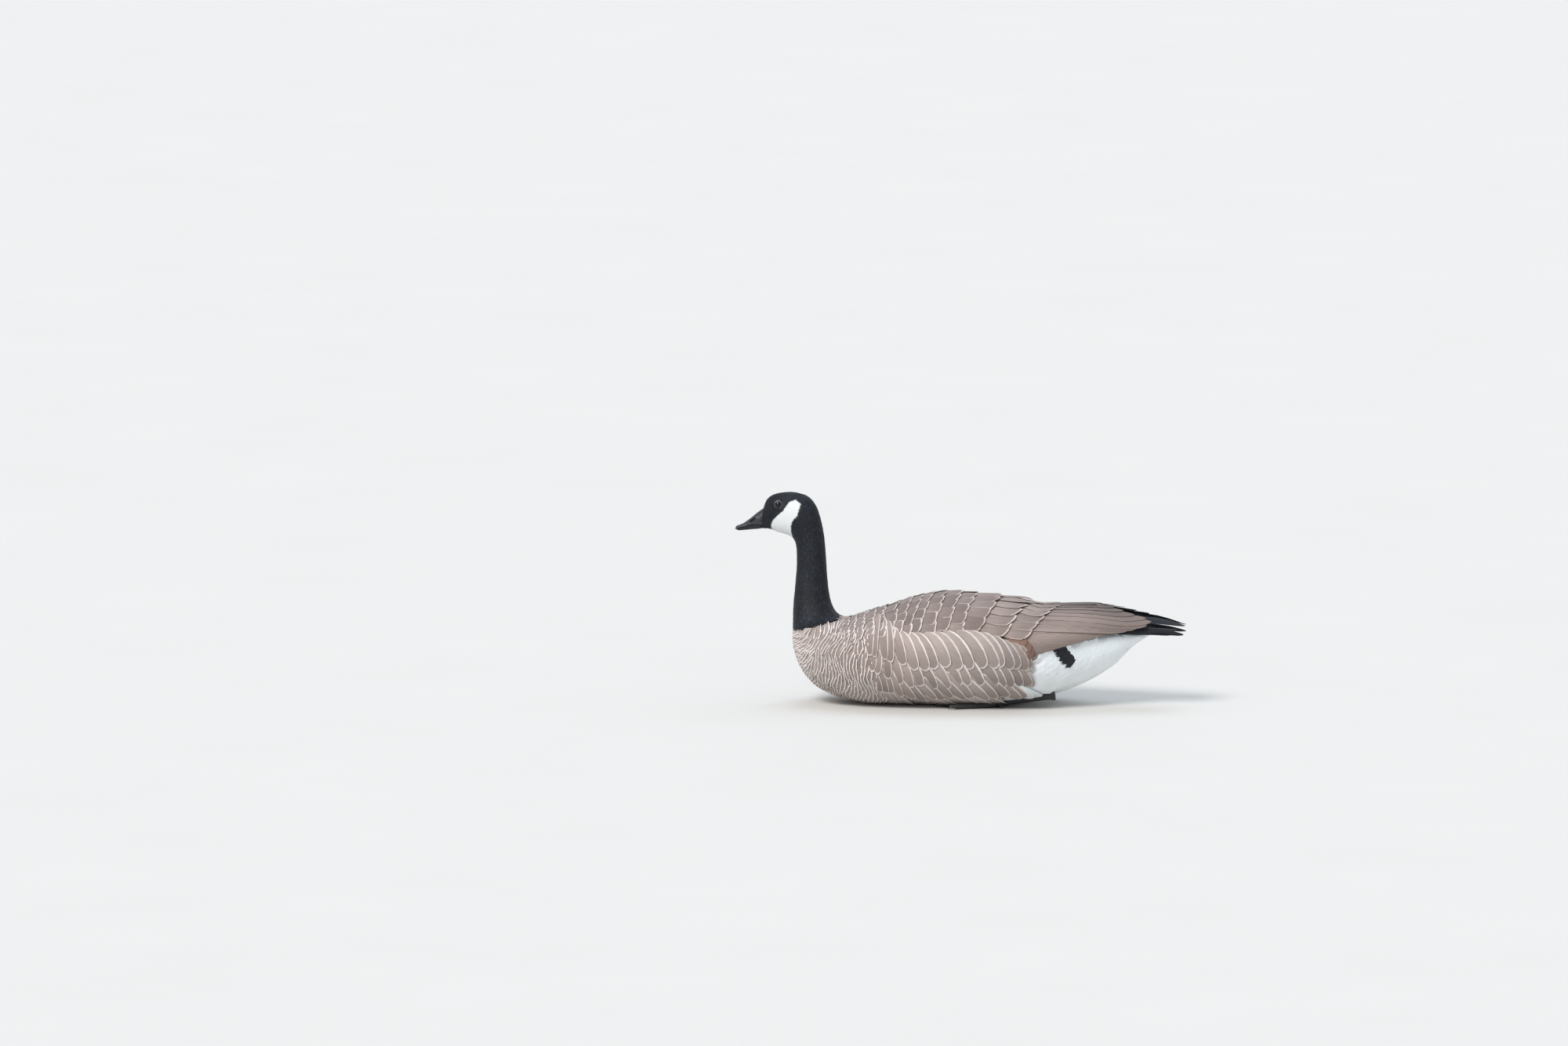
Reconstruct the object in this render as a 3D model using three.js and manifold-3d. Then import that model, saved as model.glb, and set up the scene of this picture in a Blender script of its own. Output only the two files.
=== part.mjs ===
// A Canada goose at rest on its belly, life size, wings folded, neck raised and slightly drawn back.
// Millimetres, +Z up, floor at z = 0. The bill points along -X and the bird's left side faces -Y.
import * as THREE from "three";
import { mergeVertices } from "three/addons/utils/BufferGeometryUtils.js";
import Module from "manifold-3d";

const wasm = await Module();
wasm.setup();

// Fit between touching pieces, and the reach of the blocks that cut.
const GAP = 0.3;
const FAR = 900;

// Rows of the body's sections: station along the body, back, keel, half width, height of the widest line.
const BODY_ROWS = [
  [-259, 100, 90, 7, 95],
  [-256, 106, 80, 21, 92],
  [-250, 110, 62, 37, 88],
  [-238, 114, 41, 54, 84],
  [-215, 119, 20, 74, 81],
  [-180, 129, 6, 93, 82],
  [-130, 142, -2, 108, 85],
  [-60, 157, -2, 115, 88],
  [20, 161, -2, 116, 88],
  [80, 153, 1, 112, 90],
  [120, 146, 8, 104, 92],
  [160, 140, 19, 88, 97],
  [200, 134, 36, 69, 103],
  [240, 126, 62, 50, 108],
  [268, 120, 90, 36, 111],
  [290, 118, 105, 25, 113],
  [302, 117, 112, 16, 114.5],
];
const BODY_UPPER_POWER = 1.75;
const BODY_LOWER_POWER = 2.25;
const BODY_STEPS = 22;
const BODY_SIDES = 20;
const BODY_EASE = 1.45;

// Rows of the outer sections, over the folded wings: station, back, half width, height of the widest line.
const CLOAK_ROWS = [
  [-180, 130, 95, 88],
  [-151, 138, 103, 88],
  [-114, 149, 110, 88],
  [-64, 165.5, 115, 88],
  [-18, 173, 116, 88],
  [35, 170, 115.5, 88.5],
  [88, 165, 111, 90.5],
  [104, 161, 109, 91],
  [120, 156, 106, 92],
  [150, 155, 97, 96],
  [200, 154.5, 77, 103],
  [235, 151, 61, 107.5],
  [262, 147, 51, 110],
  [300, 141, 46, 113],
  [346, 128, 38, 110],
];
const CLOAK_UPPER_POWER = 2;
const CLOAK_STEPS = 12;

// Between these stations the torso's own outer surface falls from the scapulars to the rump under the wings.
const SCAPULAR_END = 118;
const RUMP_START = 132;

// Rows from the bill's base over the head and down the neck: throat x, z, crown or nape x, z, half width.
const NECK_ROWS = [
  [0, -302, 267, -301, 302, 13],
  [1, -292, 264.5, -297, 311, 18.5],
  [2, -280, 259.5, -286, 318.8, 23],
  [3, -268, 256.5, -262, 322.5, 26],
  [4, -259, 252.5, -238, 318, 26],
  [5, -254.5, 247, -222, 302.5, 24.5],
  [6, -252.3, 239, -213, 276, 22.5],
  [7, -251.7, 228, -208.5, 252, 21.5],
  [8, -251.6, 212, -206, 222, 21.5],
  [9, -254, 180, -203.5, 185, 23.5],
  [10, -256.8, 148, -198, 152, 29],
  [11, -257.6, 125, -183, 132, 41],
  [12, -258.8, 101, -160, 127, 58],
  [13, -250, 64, -132, 116, 78],
];
const NECK_STEPS = 28;
const NECK_SIDES = 20;
const NECK_POWER = 2.1;

// Where the head leaves the neck and the black neck leaves the breast: a point and the slope there.
const HEAD_CUT = { x: -252.3, z: 239, slope: 43 };
const BREAST_CUT = { x: -258, z: 111, slope: 13.4 };
const NECK_BACK = -176;
const NECK_FRONT = -290;

// Bill: stations from the forehead to the nail, with the culmen, the mouth line, the lower edge.
const BILL_ROWS = [
  [-301.3, 297, 273, 266, 12.5],
  [-311, 290.5, 273, 264.5, 11],
  [-322, 281.5, 272, 263.5, 9.8],
  [-333, 273.5, 268.8, 262.5, 9],
  [-340, 269, 266.6, 262.6, 7.6],
  [-345, 265.5, 264.6, 263, 4.6],
];
const BILL_STEPS = 10;
const BILL_SIDES = 11;
const BILL_ARCH = 0.75;
const UPPER_HALF = { tip: -345, share: 1, lower: false };
const LOWER_HALF = { tip: -341, share: 0.86, lower: true };
const NAIL = { x: -341, z: 266.6, length: 5.8, width: 4.8, height: 2.6, slope: 34 };
const NOSTRIL = { x: -319, y: 8.6, z: 279, length: 5.4, height: 2.4, depth: 3.2, slope: 35 };
const GAPE = { x: -299, y: 13.5, z: 273, length: 5, height: 1.2, depth: 2.5 };

// Eyes and their lids.
const EYE = { x: -278, y: 15.6, z: 305, radius: 7.2 };
const LID = { thickness: 1.1, length: 5.4, height: 4.4 };

// Folded wing: its lower edge in side view, its inner edge in plan, and how far its core stands back.
const WING_LOWER_EDGE = [
  [-118, 134],
  [-96, 122],
  [40, 124],
  [80, 117],
  [105, 107],
  [121, 88],
  [148, 94],
  [192, 108],
  [212, 114],
  [250, 118],
];
const WING_INNER_EDGE = [
  [-118, 34],
  [60, 34],
  [112, 20],
  [140, 0.25],
  [250, 0.25],
];
const WING_TOP = 220;
const CORE_INSET = 1.5;
const CORE_EDGE_RAISE = 7;
const CORE_OVERRUN = 5;
const JOIN = 1;
const SECONDARIES_START = 121;

// A vane's thickness at its root and near its tip, its outline and the tilt that clears its neighbour.
const VANE = { root: 1, tip: 0.6, mostTilt: 1.5 };
const VANE_STATIONS = [0, 0.5, 0.86, 1];
const VANE_OUTLINE = [0.8, 1, 0.86, 0.3];

// Tiers on the wing: tips from the upper to the lower end as station and drop from the back in degrees.
const WING_TIERS = [
  { upper: [-66, 21], lower: [-74, 60], count: 3, length: 42, lean: 2, half: 15.5 },
  { upper: [-34, 20], lower: [-42, 61], count: 3, length: 44, lean: 2, half: 16 },
  { upper: [0, 19], lower: [-8, 61], count: 3, length: 46, lean: 2, half: 16.5 },
  { upper: [32, 17], lower: [16, 61], count: 3, length: 48, lean: 2, half: 16.5 },
  { upper: [68, 15], lower: [46, 60], count: 3, length: 50, lean: 2, half: 16 },
  { upper: [108, 15], lower: [80, 62], count: 4, length: 54, lean: 3, half: 12.5 },
  { upper: [156, 12], lower: [113, 69], count: 5, length: 60, lean: 3, half: 11.5 },
];
const TIER_LIFT = { root: -1.2, tip: 2.2, ease: 1 };
const SECONDARIES = { upper: [250, 72], lower: [136, 85], count: 7, length: 92, lean: 12, half: 7.5 };
const SECONDARY_LIFT = { root: -1.6, tip: 0.4, ease: 0.8 };

// Tertials: tip station and drop, root station and drop, half width.
const TERTIALS = [
  [262, 71, 136, 58, 9.5],
  [288, 62, 138, 47, 10.5],
  [293, 49, 140, 36, 10.5],
  [240, 33, 142, 24, 10.5],
  [306, 17, 146, 12, 10],
];
const TERTIAL_LIFT = { root: -1.2, tip: 2.4, ease: 0.6 };
const TERTIAL_TILT = 0.9;

// Primaries from the longest, lowest one up: tip stations and distances from the middle plane.
const PRIMARIES = {
  tips: [346.07, 338, 327, 314, 300],
  reach: 29, step: 1.4, root: [206, 70], half: 8.2, tilt: 0.3,
};
const PRIMARY_LIFT = { lowest: -6.4, step: 1.15 };

// Tail: where it leaves the rump, and its fan of feathers about a point inside the rump.
const TAIL_CUT = 262;
const TAIL = {
  centre: 218, count: 18, spread: 2.9, rootReach: 52, tipReach: 112, outerTipReach: 105,
  rootZ: 118, tipZ: 111, arch: 4, archReach: 46, half: 7.4,
};

// Legs, tucked under: heel, toe joint, and the three webbed toes, each with its length and spread.
const HEEL = { x: 150, y: 48, z: 20 };
const TOE_JOINT = { x: 62, y: 48, z: 7 };
const SHANK_STATIONS = [0, 0.22, 0.75, 1];
const SHANK_RADII = [7.5, 5.4, 5.2, 7];
const TOES = [
  { length: 70, spread: 24, radius: 5 },
  { length: 86, spread: 2, radius: 5.4 },
  { length: 78, spread: -19, radius: 5.2 },
];
const TOE_STATIONS = [0.02, 0.35, 0.7, 0.94, 1];
const TOE_TAPER = [1.25, 1, 0.9, 0.86, 0.55];
const TOE_HEIGHT = 4;
const TOE_DROP = 3;
const CLAW = { length: 11, height: 1.2, radius: 0.6 };
const WEB = { low: 0.9, high: 2.5, tip: 0.93, scallop: 0.8, under: -5 };
const HIND_TOE = { back: 9, out: 16, height: 2.5, stations: [0, 0.6, 1], radii: [4, 3, 0.9] };

const COLOURS = {
  plumage: "#8c796d",
  wing: "#93806f",
  black: "#17181c",
  bill: "#1d2026",
  tail: "#15171a",
  foot: "#1b1c1f",
  eye: "#1a1210",
};

// A monotone curve through each column of rows whose first column is the station.
function curveThrough(rows) {
  const at = rows.map((row) => row[0]);
  const columns = rows[0].slice(1).map((_, column) => {
    const value = rows.map((row) => row[column + 1]);
    const rise = at.slice(1).map((x, i) => (value[i + 1] - value[i]) / (x - at[i]));
    const tangent = value.map((_, i) => {
      if (i === 0) return rise[0];
      if (i === value.length - 1) return rise[i - 1];
      const product = rise[i - 1] * rise[i];
      return product <= 0 ? 0 : (2 * product) / (rise[i - 1] + rise[i]);
    });
    return { value, tangent };
  });
  return (x) => {
    const last = at.length - 2;
    const i = Math.max(0, Math.min(last, at.findLastIndex((station) => station <= x)));
    const span = at[i + 1] - at[i];
    const t = Math.max(0, Math.min(1, (x - at[i]) / span));
    return columns.map(({ value, tangent }) => {
      const start = value[i] * (1 + 2 * t) * (1 - t) ** 2 + value[i + 1] * t * t * (3 - 2 * t);
      return start + span * (tangent[i] * t * (1 - t) ** 2 + tangent[i + 1] * t * t * (t - 1));
    });
  };
}

// Stations from start to end, closer together at the start when ease is over 1.
function stations(start, end, steps, ease = 1) {
  return Array.from({ length: steps + 1 }, (_, i) => start + (end - start) * (i / steps) ** ease);
}

// The volume that a triangle list encloses, negative when it faces inwards.
function signedVolume(positions, indices) {
  const [a, b, c] = [new THREE.Vector3(), new THREE.Vector3(), new THREE.Vector3()];
  let volume = 0;
  for (let i = 0; i < indices.length; i += 3) {
    a.fromArray(positions, indices[i] * 3);
    b.fromArray(positions, indices[i + 1] * 3);
    c.fromArray(positions, indices[i + 2] * 3);
    volume += a.dot(b.cross(c)) / 6;
  }
  return volume;
}

function closedGeometry(positions, indices) {
  if (signedVolume(positions, indices) < 0) indices.reverse();
  const geometry = new THREE.BufferGeometry();
  geometry.setAttribute("position", new THREE.Float32BufferAttribute(positions, 3));
  geometry.setIndex(indices);
  return geometry;
}

// A closed body through rings of equal count, its ends closed on their middles.
function loft(rings) {
  const sides = rings[0].length;
  const positions = rings.flat().flatMap((p) => [p.x, p.y, p.z]);
  const indices = [];
  for (let r = 0; r + 1 < rings.length; r++) {
    for (let k = 0; k < sides; k++) {
      const a = r * sides + k;
      const b = r * sides + ((k + 1) % sides);
      indices.push(a, b, a + sides, b, b + sides, a + sides);
    }
  }
  for (const [ring, first, facing] of [[0, 0, 1], [rings.length - 1, (rings.length - 1) * sides, -1]]) {
    const middle = new THREE.Vector3();
    rings[ring].forEach((p) => middle.addScaledVector(p, 1 / sides));
    const centre = positions.length / 3;
    positions.push(middle.x, middle.y, middle.z);
    for (let k = 0; k < sides; k++) {
      const pair = [first + k, first + ((k + 1) % sides)];
      indices.push(centre, ...(facing > 0 ? pair.reverse() : pair));
    }
  }
  return closedGeometry(positions, indices);
}

// A point of a rounded section in the plane across the body at x, turned from the top round by y.
function sectionPoint(x, top, bottom, half, wide, upper, lower, turn) {
  const up = Math.cos(turn);
  const out = Math.sin(turn);
  const power = 2 / (up > 0 ? upper : lower);
  const reach = up > 0 ? top - wide : wide - bottom;
  const y = half * Math.sign(out) * Math.abs(out) ** power;
  return new THREE.Vector3(x, y, wide + reach * Math.sign(up) * Math.abs(up) ** power);
}

const bodyAt = curveThrough(BODY_ROWS);
const cloakAt = curveThrough(CLOAK_ROWS);

// A body loft along x whose sections come from a function giving back, keel, half width, widest line.
function bodyLoft(first, last, steps, ease, upper, sectionAt) {
  const rings = stations(first, last, steps, ease).map((x) => {
    const [top, bottom, half, wide] = sectionAt(x);
    return Array.from({ length: BODY_SIDES }, (_, k) => {
      const turn = (k / BODY_SIDES) * 2 * Math.PI;
      return sectionPoint(x, top, bottom, half, wide, upper(x), BODY_LOWER_POWER, turn);
    });
  });
  return solid(loft(rings));
}

function innerBody(grow = 0) {
  const [first, last] = [BODY_ROWS[0][0], BODY_ROWS.at(-1)[0]];
  return bodyLoft(first, last, BODY_STEPS, BODY_EASE, () => BODY_UPPER_POWER, (x) => {
    const [top, bottom, half, wide] = bodyAt(x);
    return [top + grow, bottom - grow, half + grow, wide];
  });
}

// The share of the cloak in the torso's outer surface at x, from the inner body to the cloak and back.
function cloakShare(x) {
  const [start, full] = [CLOAK_ROWS[0][0], CLOAK_ROWS[1][0]];
  const { smoothstep } = THREE.MathUtils;
  return smoothstep(x, start, full) * (1 - smoothstep(x, SCAPULAR_END, RUMP_START));
}

function outerBody() {
  const [first, last] = [BODY_ROWS[0][0], BODY_ROWS.at(-1)[0]];
  const upper = (x) => BODY_UPPER_POWER + (CLOAK_UPPER_POWER - BODY_UPPER_POWER) * cloakShare(x);
  return bodyLoft(first, last, BODY_STEPS, BODY_EASE, upper, (x) => {
    const [top, bottom, half, wide] = bodyAt(x);
    const [cloakTop, cloakHalf] = cloakAt(x);
    const share = cloakShare(x);
    return [top + (cloakTop - top) * share, bottom, half + (cloakHalf - half) * share, wide];
  });
}

// The wings' core, set back under the feathers.
function cloakSolid() {
  const [first, last] = [CLOAK_ROWS[0][0], WING_LOWER_EDGE.at(-1)[0] + CORE_OVERRUN];
  return bodyLoft(first, last, CLOAK_STEPS, 1, () => CLOAK_UPPER_POWER, (x) => {
    const [top, half, wide] = cloakAt(x);
    return [top - CORE_INSET, bodyAt(x)[1], half - CORE_INSET, wide];
  });
}

// Head and neck in one sweep: each section lies in the plane from its throat point to its crown point.
function headNeckSolid() {
  const rowAt = curveThrough(NECK_ROWS);
  const rings = stations(0, NECK_ROWS.length - 1, NECK_STEPS).map((t) => {
    const [throatX, throatZ, crownX, crownZ, half] = rowAt(t);
    const throat = new THREE.Vector3(throatX, 0, throatZ);
    const crown = new THREE.Vector3(crownX, 0, crownZ);
    const middle = throat.clone().add(crown).multiplyScalar(0.5);
    const rise = crown.clone().sub(throat).multiplyScalar(0.5);
    return Array.from({ length: NECK_SIDES }, (_, k) => {
      const turn = (k / NECK_SIDES) * 2 * Math.PI;
      const up = Math.sign(Math.cos(turn)) * Math.abs(Math.cos(turn)) ** (2 / NECK_POWER);
      const out = Math.sign(Math.sin(turn)) * Math.abs(Math.sin(turn)) ** (2 / NECK_POWER);
      return middle.clone().addScaledVector(rise, up).add(new THREE.Vector3(0, out * half, 0));
    });
  });
  return solid(loft(rings));
}

// A three.js geometry as a solid, its shared vertices merged.
function solid(geometry) {
  geometry.deleteAttribute("normal");
  geometry.deleteAttribute("uv");
  const merged = mergeVertices(geometry, 1e-4);
  return new wasm.Manifold(
    new wasm.Mesh({
      numProp: 3,
      vertProperties: new Float32Array(merged.attributes.position.array),
      triVerts: new Uint32Array(merged.index.array),
    }),
  );
}

function join(solids) {
  return solids.reduce((whole, next) => whole.add(next));
}

function largestPiece(body) {
  return body.decompose().reduce((best, piece) => (piece.volume() > best.volume() ? piece : best));
}

function mirrored(body) {
  const { numProp, vertProperties, triVerts } = body.getMesh();
  const positions = [];
  for (let i = 0; i < vertProperties.length; i += numProp) {
    positions.push(vertProperties[i], -vertProperties[i + 1], vertProperties[i + 2]);
  }
  return solid(closedGeometry(positions, Array.from(triVerts)));
}

// A block that fills everything above a line in side view, its face raised by lift.
function blockAbove({ x, z, slope }, lift = 0) {
  const block = new THREE.BoxGeometry(FAR, FAR, FAR);
  block.translate(0, 0, FAR / 2 + lift);
  block.rotateY(THREE.MathUtils.degToRad(-slope));
  block.translate(x, 0, z);
  return solid(block);
}

// A block from one corner to the other.
function block(low, high) {
  const size = high.map((value, i) => value - low[i]);
  const box = new THREE.BoxGeometry(...size);
  box.translate(...low.map((value, i) => value + size[i] / 2));
  return solid(box);
}

// The space of one folded wing on the -Y side, grown by the fit, its free edge raised for the core.
function wingSpace(grow = 0, edgeRaise = 0) {
  const [start, end] = [WING_LOWER_EDGE[0][0] - grow, WING_LOWER_EDGE.at(-1)[0] + grow];
  const side = new THREE.Shape();
  side.moveTo(start, WING_TOP);
  for (const [x, z] of WING_LOWER_EDGE) {
    const raise = x >= SECONDARIES_START ? edgeRaise : 0;
    side.lineTo(Math.min(end, Math.max(start, x)), z - grow + raise);
  }
  side.lineTo(end, WING_TOP);
  const across = new THREE.ExtrudeGeometry(side, { depth: FAR / 2, bevelEnabled: false });
  across.rotateX(Math.PI / 2);
  const plan = new THREE.Shape();
  plan.moveTo(start, -FAR / 3);
  for (const [x, y] of WING_INNER_EDGE) plan.lineTo(Math.min(end, Math.max(start, x)), grow - y);
  plan.lineTo(end, -FAR / 3);
  const tall = new THREE.ExtrudeGeometry(plan, { depth: WING_TOP, bevelEnabled: false });
  return solid(across).intersect(solid(tall));
}

// The surface over the near wing by station and drop from the back, in radians.
function cloakPoint(x, drop) {
  const [top, half, wide] = cloakAt(x);
  return sectionPoint(
    x, top - CORE_INSET, wide - (top - wide), half - CORE_INSET, wide,
    CLOAK_UPPER_POWER, CLOAK_UPPER_POWER, -drop,
  );
}

// The tail's gently arched surface by reach from the fan's centre and angle from the middle.
function tailPoint(reach, angle) {
  const y = reach * Math.sin(angle);
  const share = (reach - TAIL.rootReach) / (TAIL.tipReach - TAIL.rootReach);
  const z = TAIL.rootZ + (TAIL.tipZ - TAIL.rootZ) * share - TAIL.arch * (y / TAIL.archReach) ** 2;
  return new THREE.Vector3(TAIL.centre + reach * Math.cos(angle), y, z);
}

// Place, both tangents and outward normal of a surface given by two parameters.
function surfaceFrame(surface, p, q) {
  const stepP = 0.5;
  const stepQ = 0.005;
  const along = surface(p + stepP, q).sub(surface(p - stepP, q)).divideScalar(2 * stepP);
  const across = surface(p, q + stepQ).sub(surface(p, q - stepQ)).divideScalar(2 * stepQ);
  const normal = new THREE.Vector3().crossVectors(along, across).normalize();
  if (normal.z < 0) normal.negate();
  return { place: surface(p, q), along, across, normal };
}

// A feather's vane on a surface, from root to tip, each [p, q]: a thin plate tilted about its shaft.
function vane(surface, root, tip, { half, tilt, side, liftAt }) {
  const [upper, lower] = [[], []];
  VANE_STATIONS.forEach((t, row) => {
    const p = THREE.MathUtils.lerp(root[0], tip[0], t);
    const q = THREE.MathUtils.lerp(root[1], tip[1], t);
    const frame = surfaceFrame(surface, p, q);
    const forward = frame.along.clone().multiplyScalar(tip[0] - root[0]);
    forward.addScaledVector(frame.across, tip[1] - root[1]);
    const out = new THREE.Vector3().crossVectors(forward, frame.normal).normalize();
    if (out.dot(frame.across) < 0) out.negate();
    for (const edge of [-1, 1]) {
      const reach = edge * half * VANE_OUTLINE[row];
      const there = surfaceFrame(
        surface,
        p + (reach * out.dot(frame.along)) / frame.along.lengthSq(),
        q + (reach * out.dot(frame.across)) / frame.across.lengthSq(),
      );
      const lift = liftAt(t) + side * edge * tilt * VANE_OUTLINE[row];
      const thickness = THREE.MathUtils.lerp(VANE.root, VANE.tip, t);
      upper.push(there.place.clone().addScaledVector(there.normal, lift + thickness / 2));
      lower.push(there.place.clone().addScaledVector(there.normal, lift - thickness / 2));
    }
  });
  const count = upper.length;
  const indices = [];
  for (let i = 0; i + 3 < count; i += 2) {
    indices.push(i, i + 1, i + 2, i + 1, i + 3, i + 2);
    indices.push(count + i, count + i + 2, count + i + 1, count + i + 1, count + i + 2, count + i + 3);
    indices.push(i, i + 2, count + i, i + 2, count + i + 2, count + i);
    indices.push(i + 1, count + i + 1, i + 3, i + 3, count + i + 1, count + i + 3);
  }
  indices.push(0, count, 1, 1, count, count + 1);
  indices.push(count - 2, count - 1, 2 * count - 2, count - 1, 2 * count - 1, 2 * count - 2);
  const positions = [...upper, ...lower].flatMap((point) => [point.x, point.y, point.z]);
  return solid(closedGeometry(positions, indices));
}

function easedLift({ root, tip, ease }) {
  return (t) => root + (tip - root) * t ** ease;
}

// The tilt that lifts a vane's edge over its neighbour at this spacing.
function tiltFor(half, spacing) {
  return Math.min(VANE.mostTilt, ((VANE.tip + GAP) * half) / spacing);
}

function radians(degrees) {
  return THREE.MathUtils.degToRad(degrees);
}

// One tier of vanes on the wing, tips evenly spaced from its upper to its lower end.
function tier({ upper, lower, count, length, lean, half }, lift) {
  const tipAt = (i) => {
    const t = (i + 0.5) / count;
    return [
      THREE.MathUtils.lerp(upper[0], lower[0], t),
      radians(THREE.MathUtils.lerp(upper[1], lower[1], t)),
    ];
  };
  const spacing = cloakPoint(...tipAt(0)).distanceTo(cloakPoint(...tipAt(1)));
  const tilt = tiltFor(half, spacing);
  return Array.from({ length: count }, (_, i) => {
    const tip = tipAt(i);
    const root = [tip[0] - length, tip[1] - radians(lean)];
    return vane(cloakPoint, root, tip, { half, tilt, side: 1, liftAt: easedLift(lift) });
  });
}

function tertials() {
  return TERTIALS.map(([tipX, tipDrop, rootX, rootDrop, half]) =>
    vane(cloakPoint, [rootX, radians(rootDrop)], [tipX, radians(tipDrop)], {
      half, tilt: TERTIAL_TILT, side: 1, liftAt: easedLift(TERTIAL_LIFT),
    }),
  );
}

function primaries() {
  return PRIMARIES.tips.map((tipX, i) => {
    const reach = PRIMARIES.reach + i * PRIMARIES.step;
    const tip = [tipX, Math.asin(reach / (cloakAt(tipX)[1] - CORE_INSET))];
    const root = [PRIMARIES.root[0], radians(PRIMARIES.root[1] - i)];
    const lift = PRIMARY_LIFT.lowest + i * PRIMARY_LIFT.step;
    const { half, tilt } = PRIMARIES;
    return vane(cloakPoint, root, tip, { half, tilt, side: 1, liftAt: () => lift });
  });
}

function wingSolid(grownBody) {
  const core = cloakSolid().intersect(wingSpace(0, CORE_EDGE_RAISE));
  const feathers = [
    ...WING_TIERS.flatMap((row) => tier(row, TIER_LIFT)),
    ...tier(SECONDARIES, SECONDARY_LIFT),
    ...tertials(),
    ...primaries(),
  ];
  const [end, inner] = [WING_LOWER_EDGE.at(-1)[0] - JOIN, WING_INNER_EDGE.at(-1)[1]];
  const behind = block([end, -FAR, 0], [FAR, -inner, FAR]);
  return largestPiece(
    join([core, ...feathers]).intersect(wingSpace().add(behind)).subtract(grownBody),
  );
}

function tailFeathers() {
  const middle = (TAIL.count - 1) / 2;
  return Array.from({ length: TAIL.count }, (_, i) => {
    const place = i - middle;
    const angle = radians(place * TAIL.spread);
    const share = (place / middle) ** 2;
    const tipReach = THREE.MathUtils.lerp(TAIL.tipReach, TAIL.outerTipReach, share);
    const spacing = TAIL.tipReach * radians(TAIL.spread);
    const onTop = place === 0.5 ? VANE.tip + 2 * GAP : 0;
    return vane(tailPoint, [TAIL.rootReach, angle], [tipReach, angle], {
      half: TAIL.half, tilt: tiltFor(TAIL.half, spacing), side: Math.sign(place), liftAt: () => onTop,
    });
  });
}

// Bill: an arched upper half over the mouth line and a shallow lower half under it.
function billHalf({ tip, share, lower }, grow = 0) {
  const rowAt = curveThrough([...BILL_ROWS].reverse());
  const rings = stations(BILL_ROWS[0][0] + grow, tip - grow, BILL_STEPS).map((x) => {
    const [culmen, mouth, under, half] = rowAt(x);
    const base = lower ? mouth - GAP + grow : mouth;
    const arch = lower ? under - grow - base : culmen - base;
    return Array.from({ length: BILL_SIDES }, (_, k) => {
      const turn = Math.PI * (k / (BILL_SIDES - 1));
      const y = -(half * share + grow) * Math.cos(turn);
      return new THREE.Vector3(x, y, base + arch * Math.sin(turn) ** BILL_ARCH);
    });
  });
  return solid(loft(rings));
}

function ball({ x, y, z }, [rx, ry, rz], slope = 0, sides = 10) {
  const sphere = new THREE.SphereGeometry(1, sides, Math.round(sides / 2) + 1);
  sphere.scale(rx, ry, rz);
  sphere.rotateY(THREE.MathUtils.degToRad(-slope));
  sphere.translate(x, y, z);
  return solid(sphere);
}

function upperBill() {
  const nail = ball({ x: NAIL.x, y: 0, z: NAIL.z }, [NAIL.length, NAIL.width, NAIL.height], NAIL.slope);
  let bill = billHalf(UPPER_HALF).add(nail.subtract(billHalf(LOWER_HALF, GAP)));
  for (const side of [-1, 1]) {
    const at = { x: NOSTRIL.x, y: side * NOSTRIL.y, z: NOSTRIL.z };
    bill = bill.subtract(ball(at, [NOSTRIL.length, NOSTRIL.depth, NOSTRIL.height], NOSTRIL.slope));
  }
  return largestPiece(bill);
}

function headSolid(headNeck) {
  let head = headNeck.intersect(blockAbove(HEAD_CUT, GAP));
  head = head.subtract(block([-FAR, -FAR, 0], [BILL_ROWS[0][0] + GAP, FAR, FAR]));
  for (const side of [-1, 1]) {
    const centre = { x: EYE.x, y: side * EYE.y, z: EYE.z };
    const lidRadius = EYE.radius + LID.thickness;
    head = head.add(ball(centre, [lidRadius, lidRadius, lidRadius]));
    const opening = { x: EYE.x, y: side * (EYE.y + EYE.radius), z: EYE.z };
    head = head.subtract(ball(opening, [LID.length, EYE.radius, LID.height]));
    const socket = EYE.radius + GAP;
    head = head.subtract(ball(centre, [socket, socket, socket]));
    const corner = { x: GAPE.x, y: side * GAPE.y, z: GAPE.z };
    head = head.subtract(ball(corner, [GAPE.length, GAPE.depth, GAPE.height]));
  }
  return largestPiece(head);
}

// A tapered limb through points with a radius at each, on a ring of few sides, grown all round.
function limb(points, radii, sides, grow = 0) {
  const curve = new THREE.CatmullRomCurve3(points);
  const last = points.length - 1;
  const rings = points.map((start, i) => {
    const along = curve.getTangent(i / last);
    const point = start.clone().addScaledVector(along, i === 0 ? -grow : i === last ? grow : 0);
    const side = new THREE.Vector3(-along.y, along.x, 0).normalize();
    const up = new THREE.Vector3().crossVectors(along, side).normalize();
    return Array.from({ length: sides }, (_, k) => {
      const turn = ((k + 0.5) / sides) * 2 * Math.PI;
      return point
        .clone()
        .addScaledVector(side, (radii[i] + grow) * Math.cos(turn))
        .addScaledVector(up, (radii[i] + grow) * Math.sin(turn));
    });
  });
  return solid(loft(rings));
}

function shankSolid(grow = 0) {
  const heel = new THREE.Vector3(HEEL.x, -HEEL.y, HEEL.z);
  const joint = new THREE.Vector3(TOE_JOINT.x, -TOE_JOINT.y, TOE_JOINT.z);
  const points = SHANK_STATIONS.map((t) => heel.clone().lerp(joint, t));
  return limb(points, SHANK_RADII, 8, grow);
}

function toePoint({ length, spread }, share) {
  const angle = THREE.MathUtils.degToRad(spread);
  const reach = length * share;
  const { x, y, z } = TOE_JOINT;
  const height = z + (TOE_HEIGHT - z) * Math.min(1, share * TOE_DROP);
  return new THREE.Vector3(x - reach * Math.cos(angle), -y - reach * Math.sin(angle), height);
}

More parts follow.
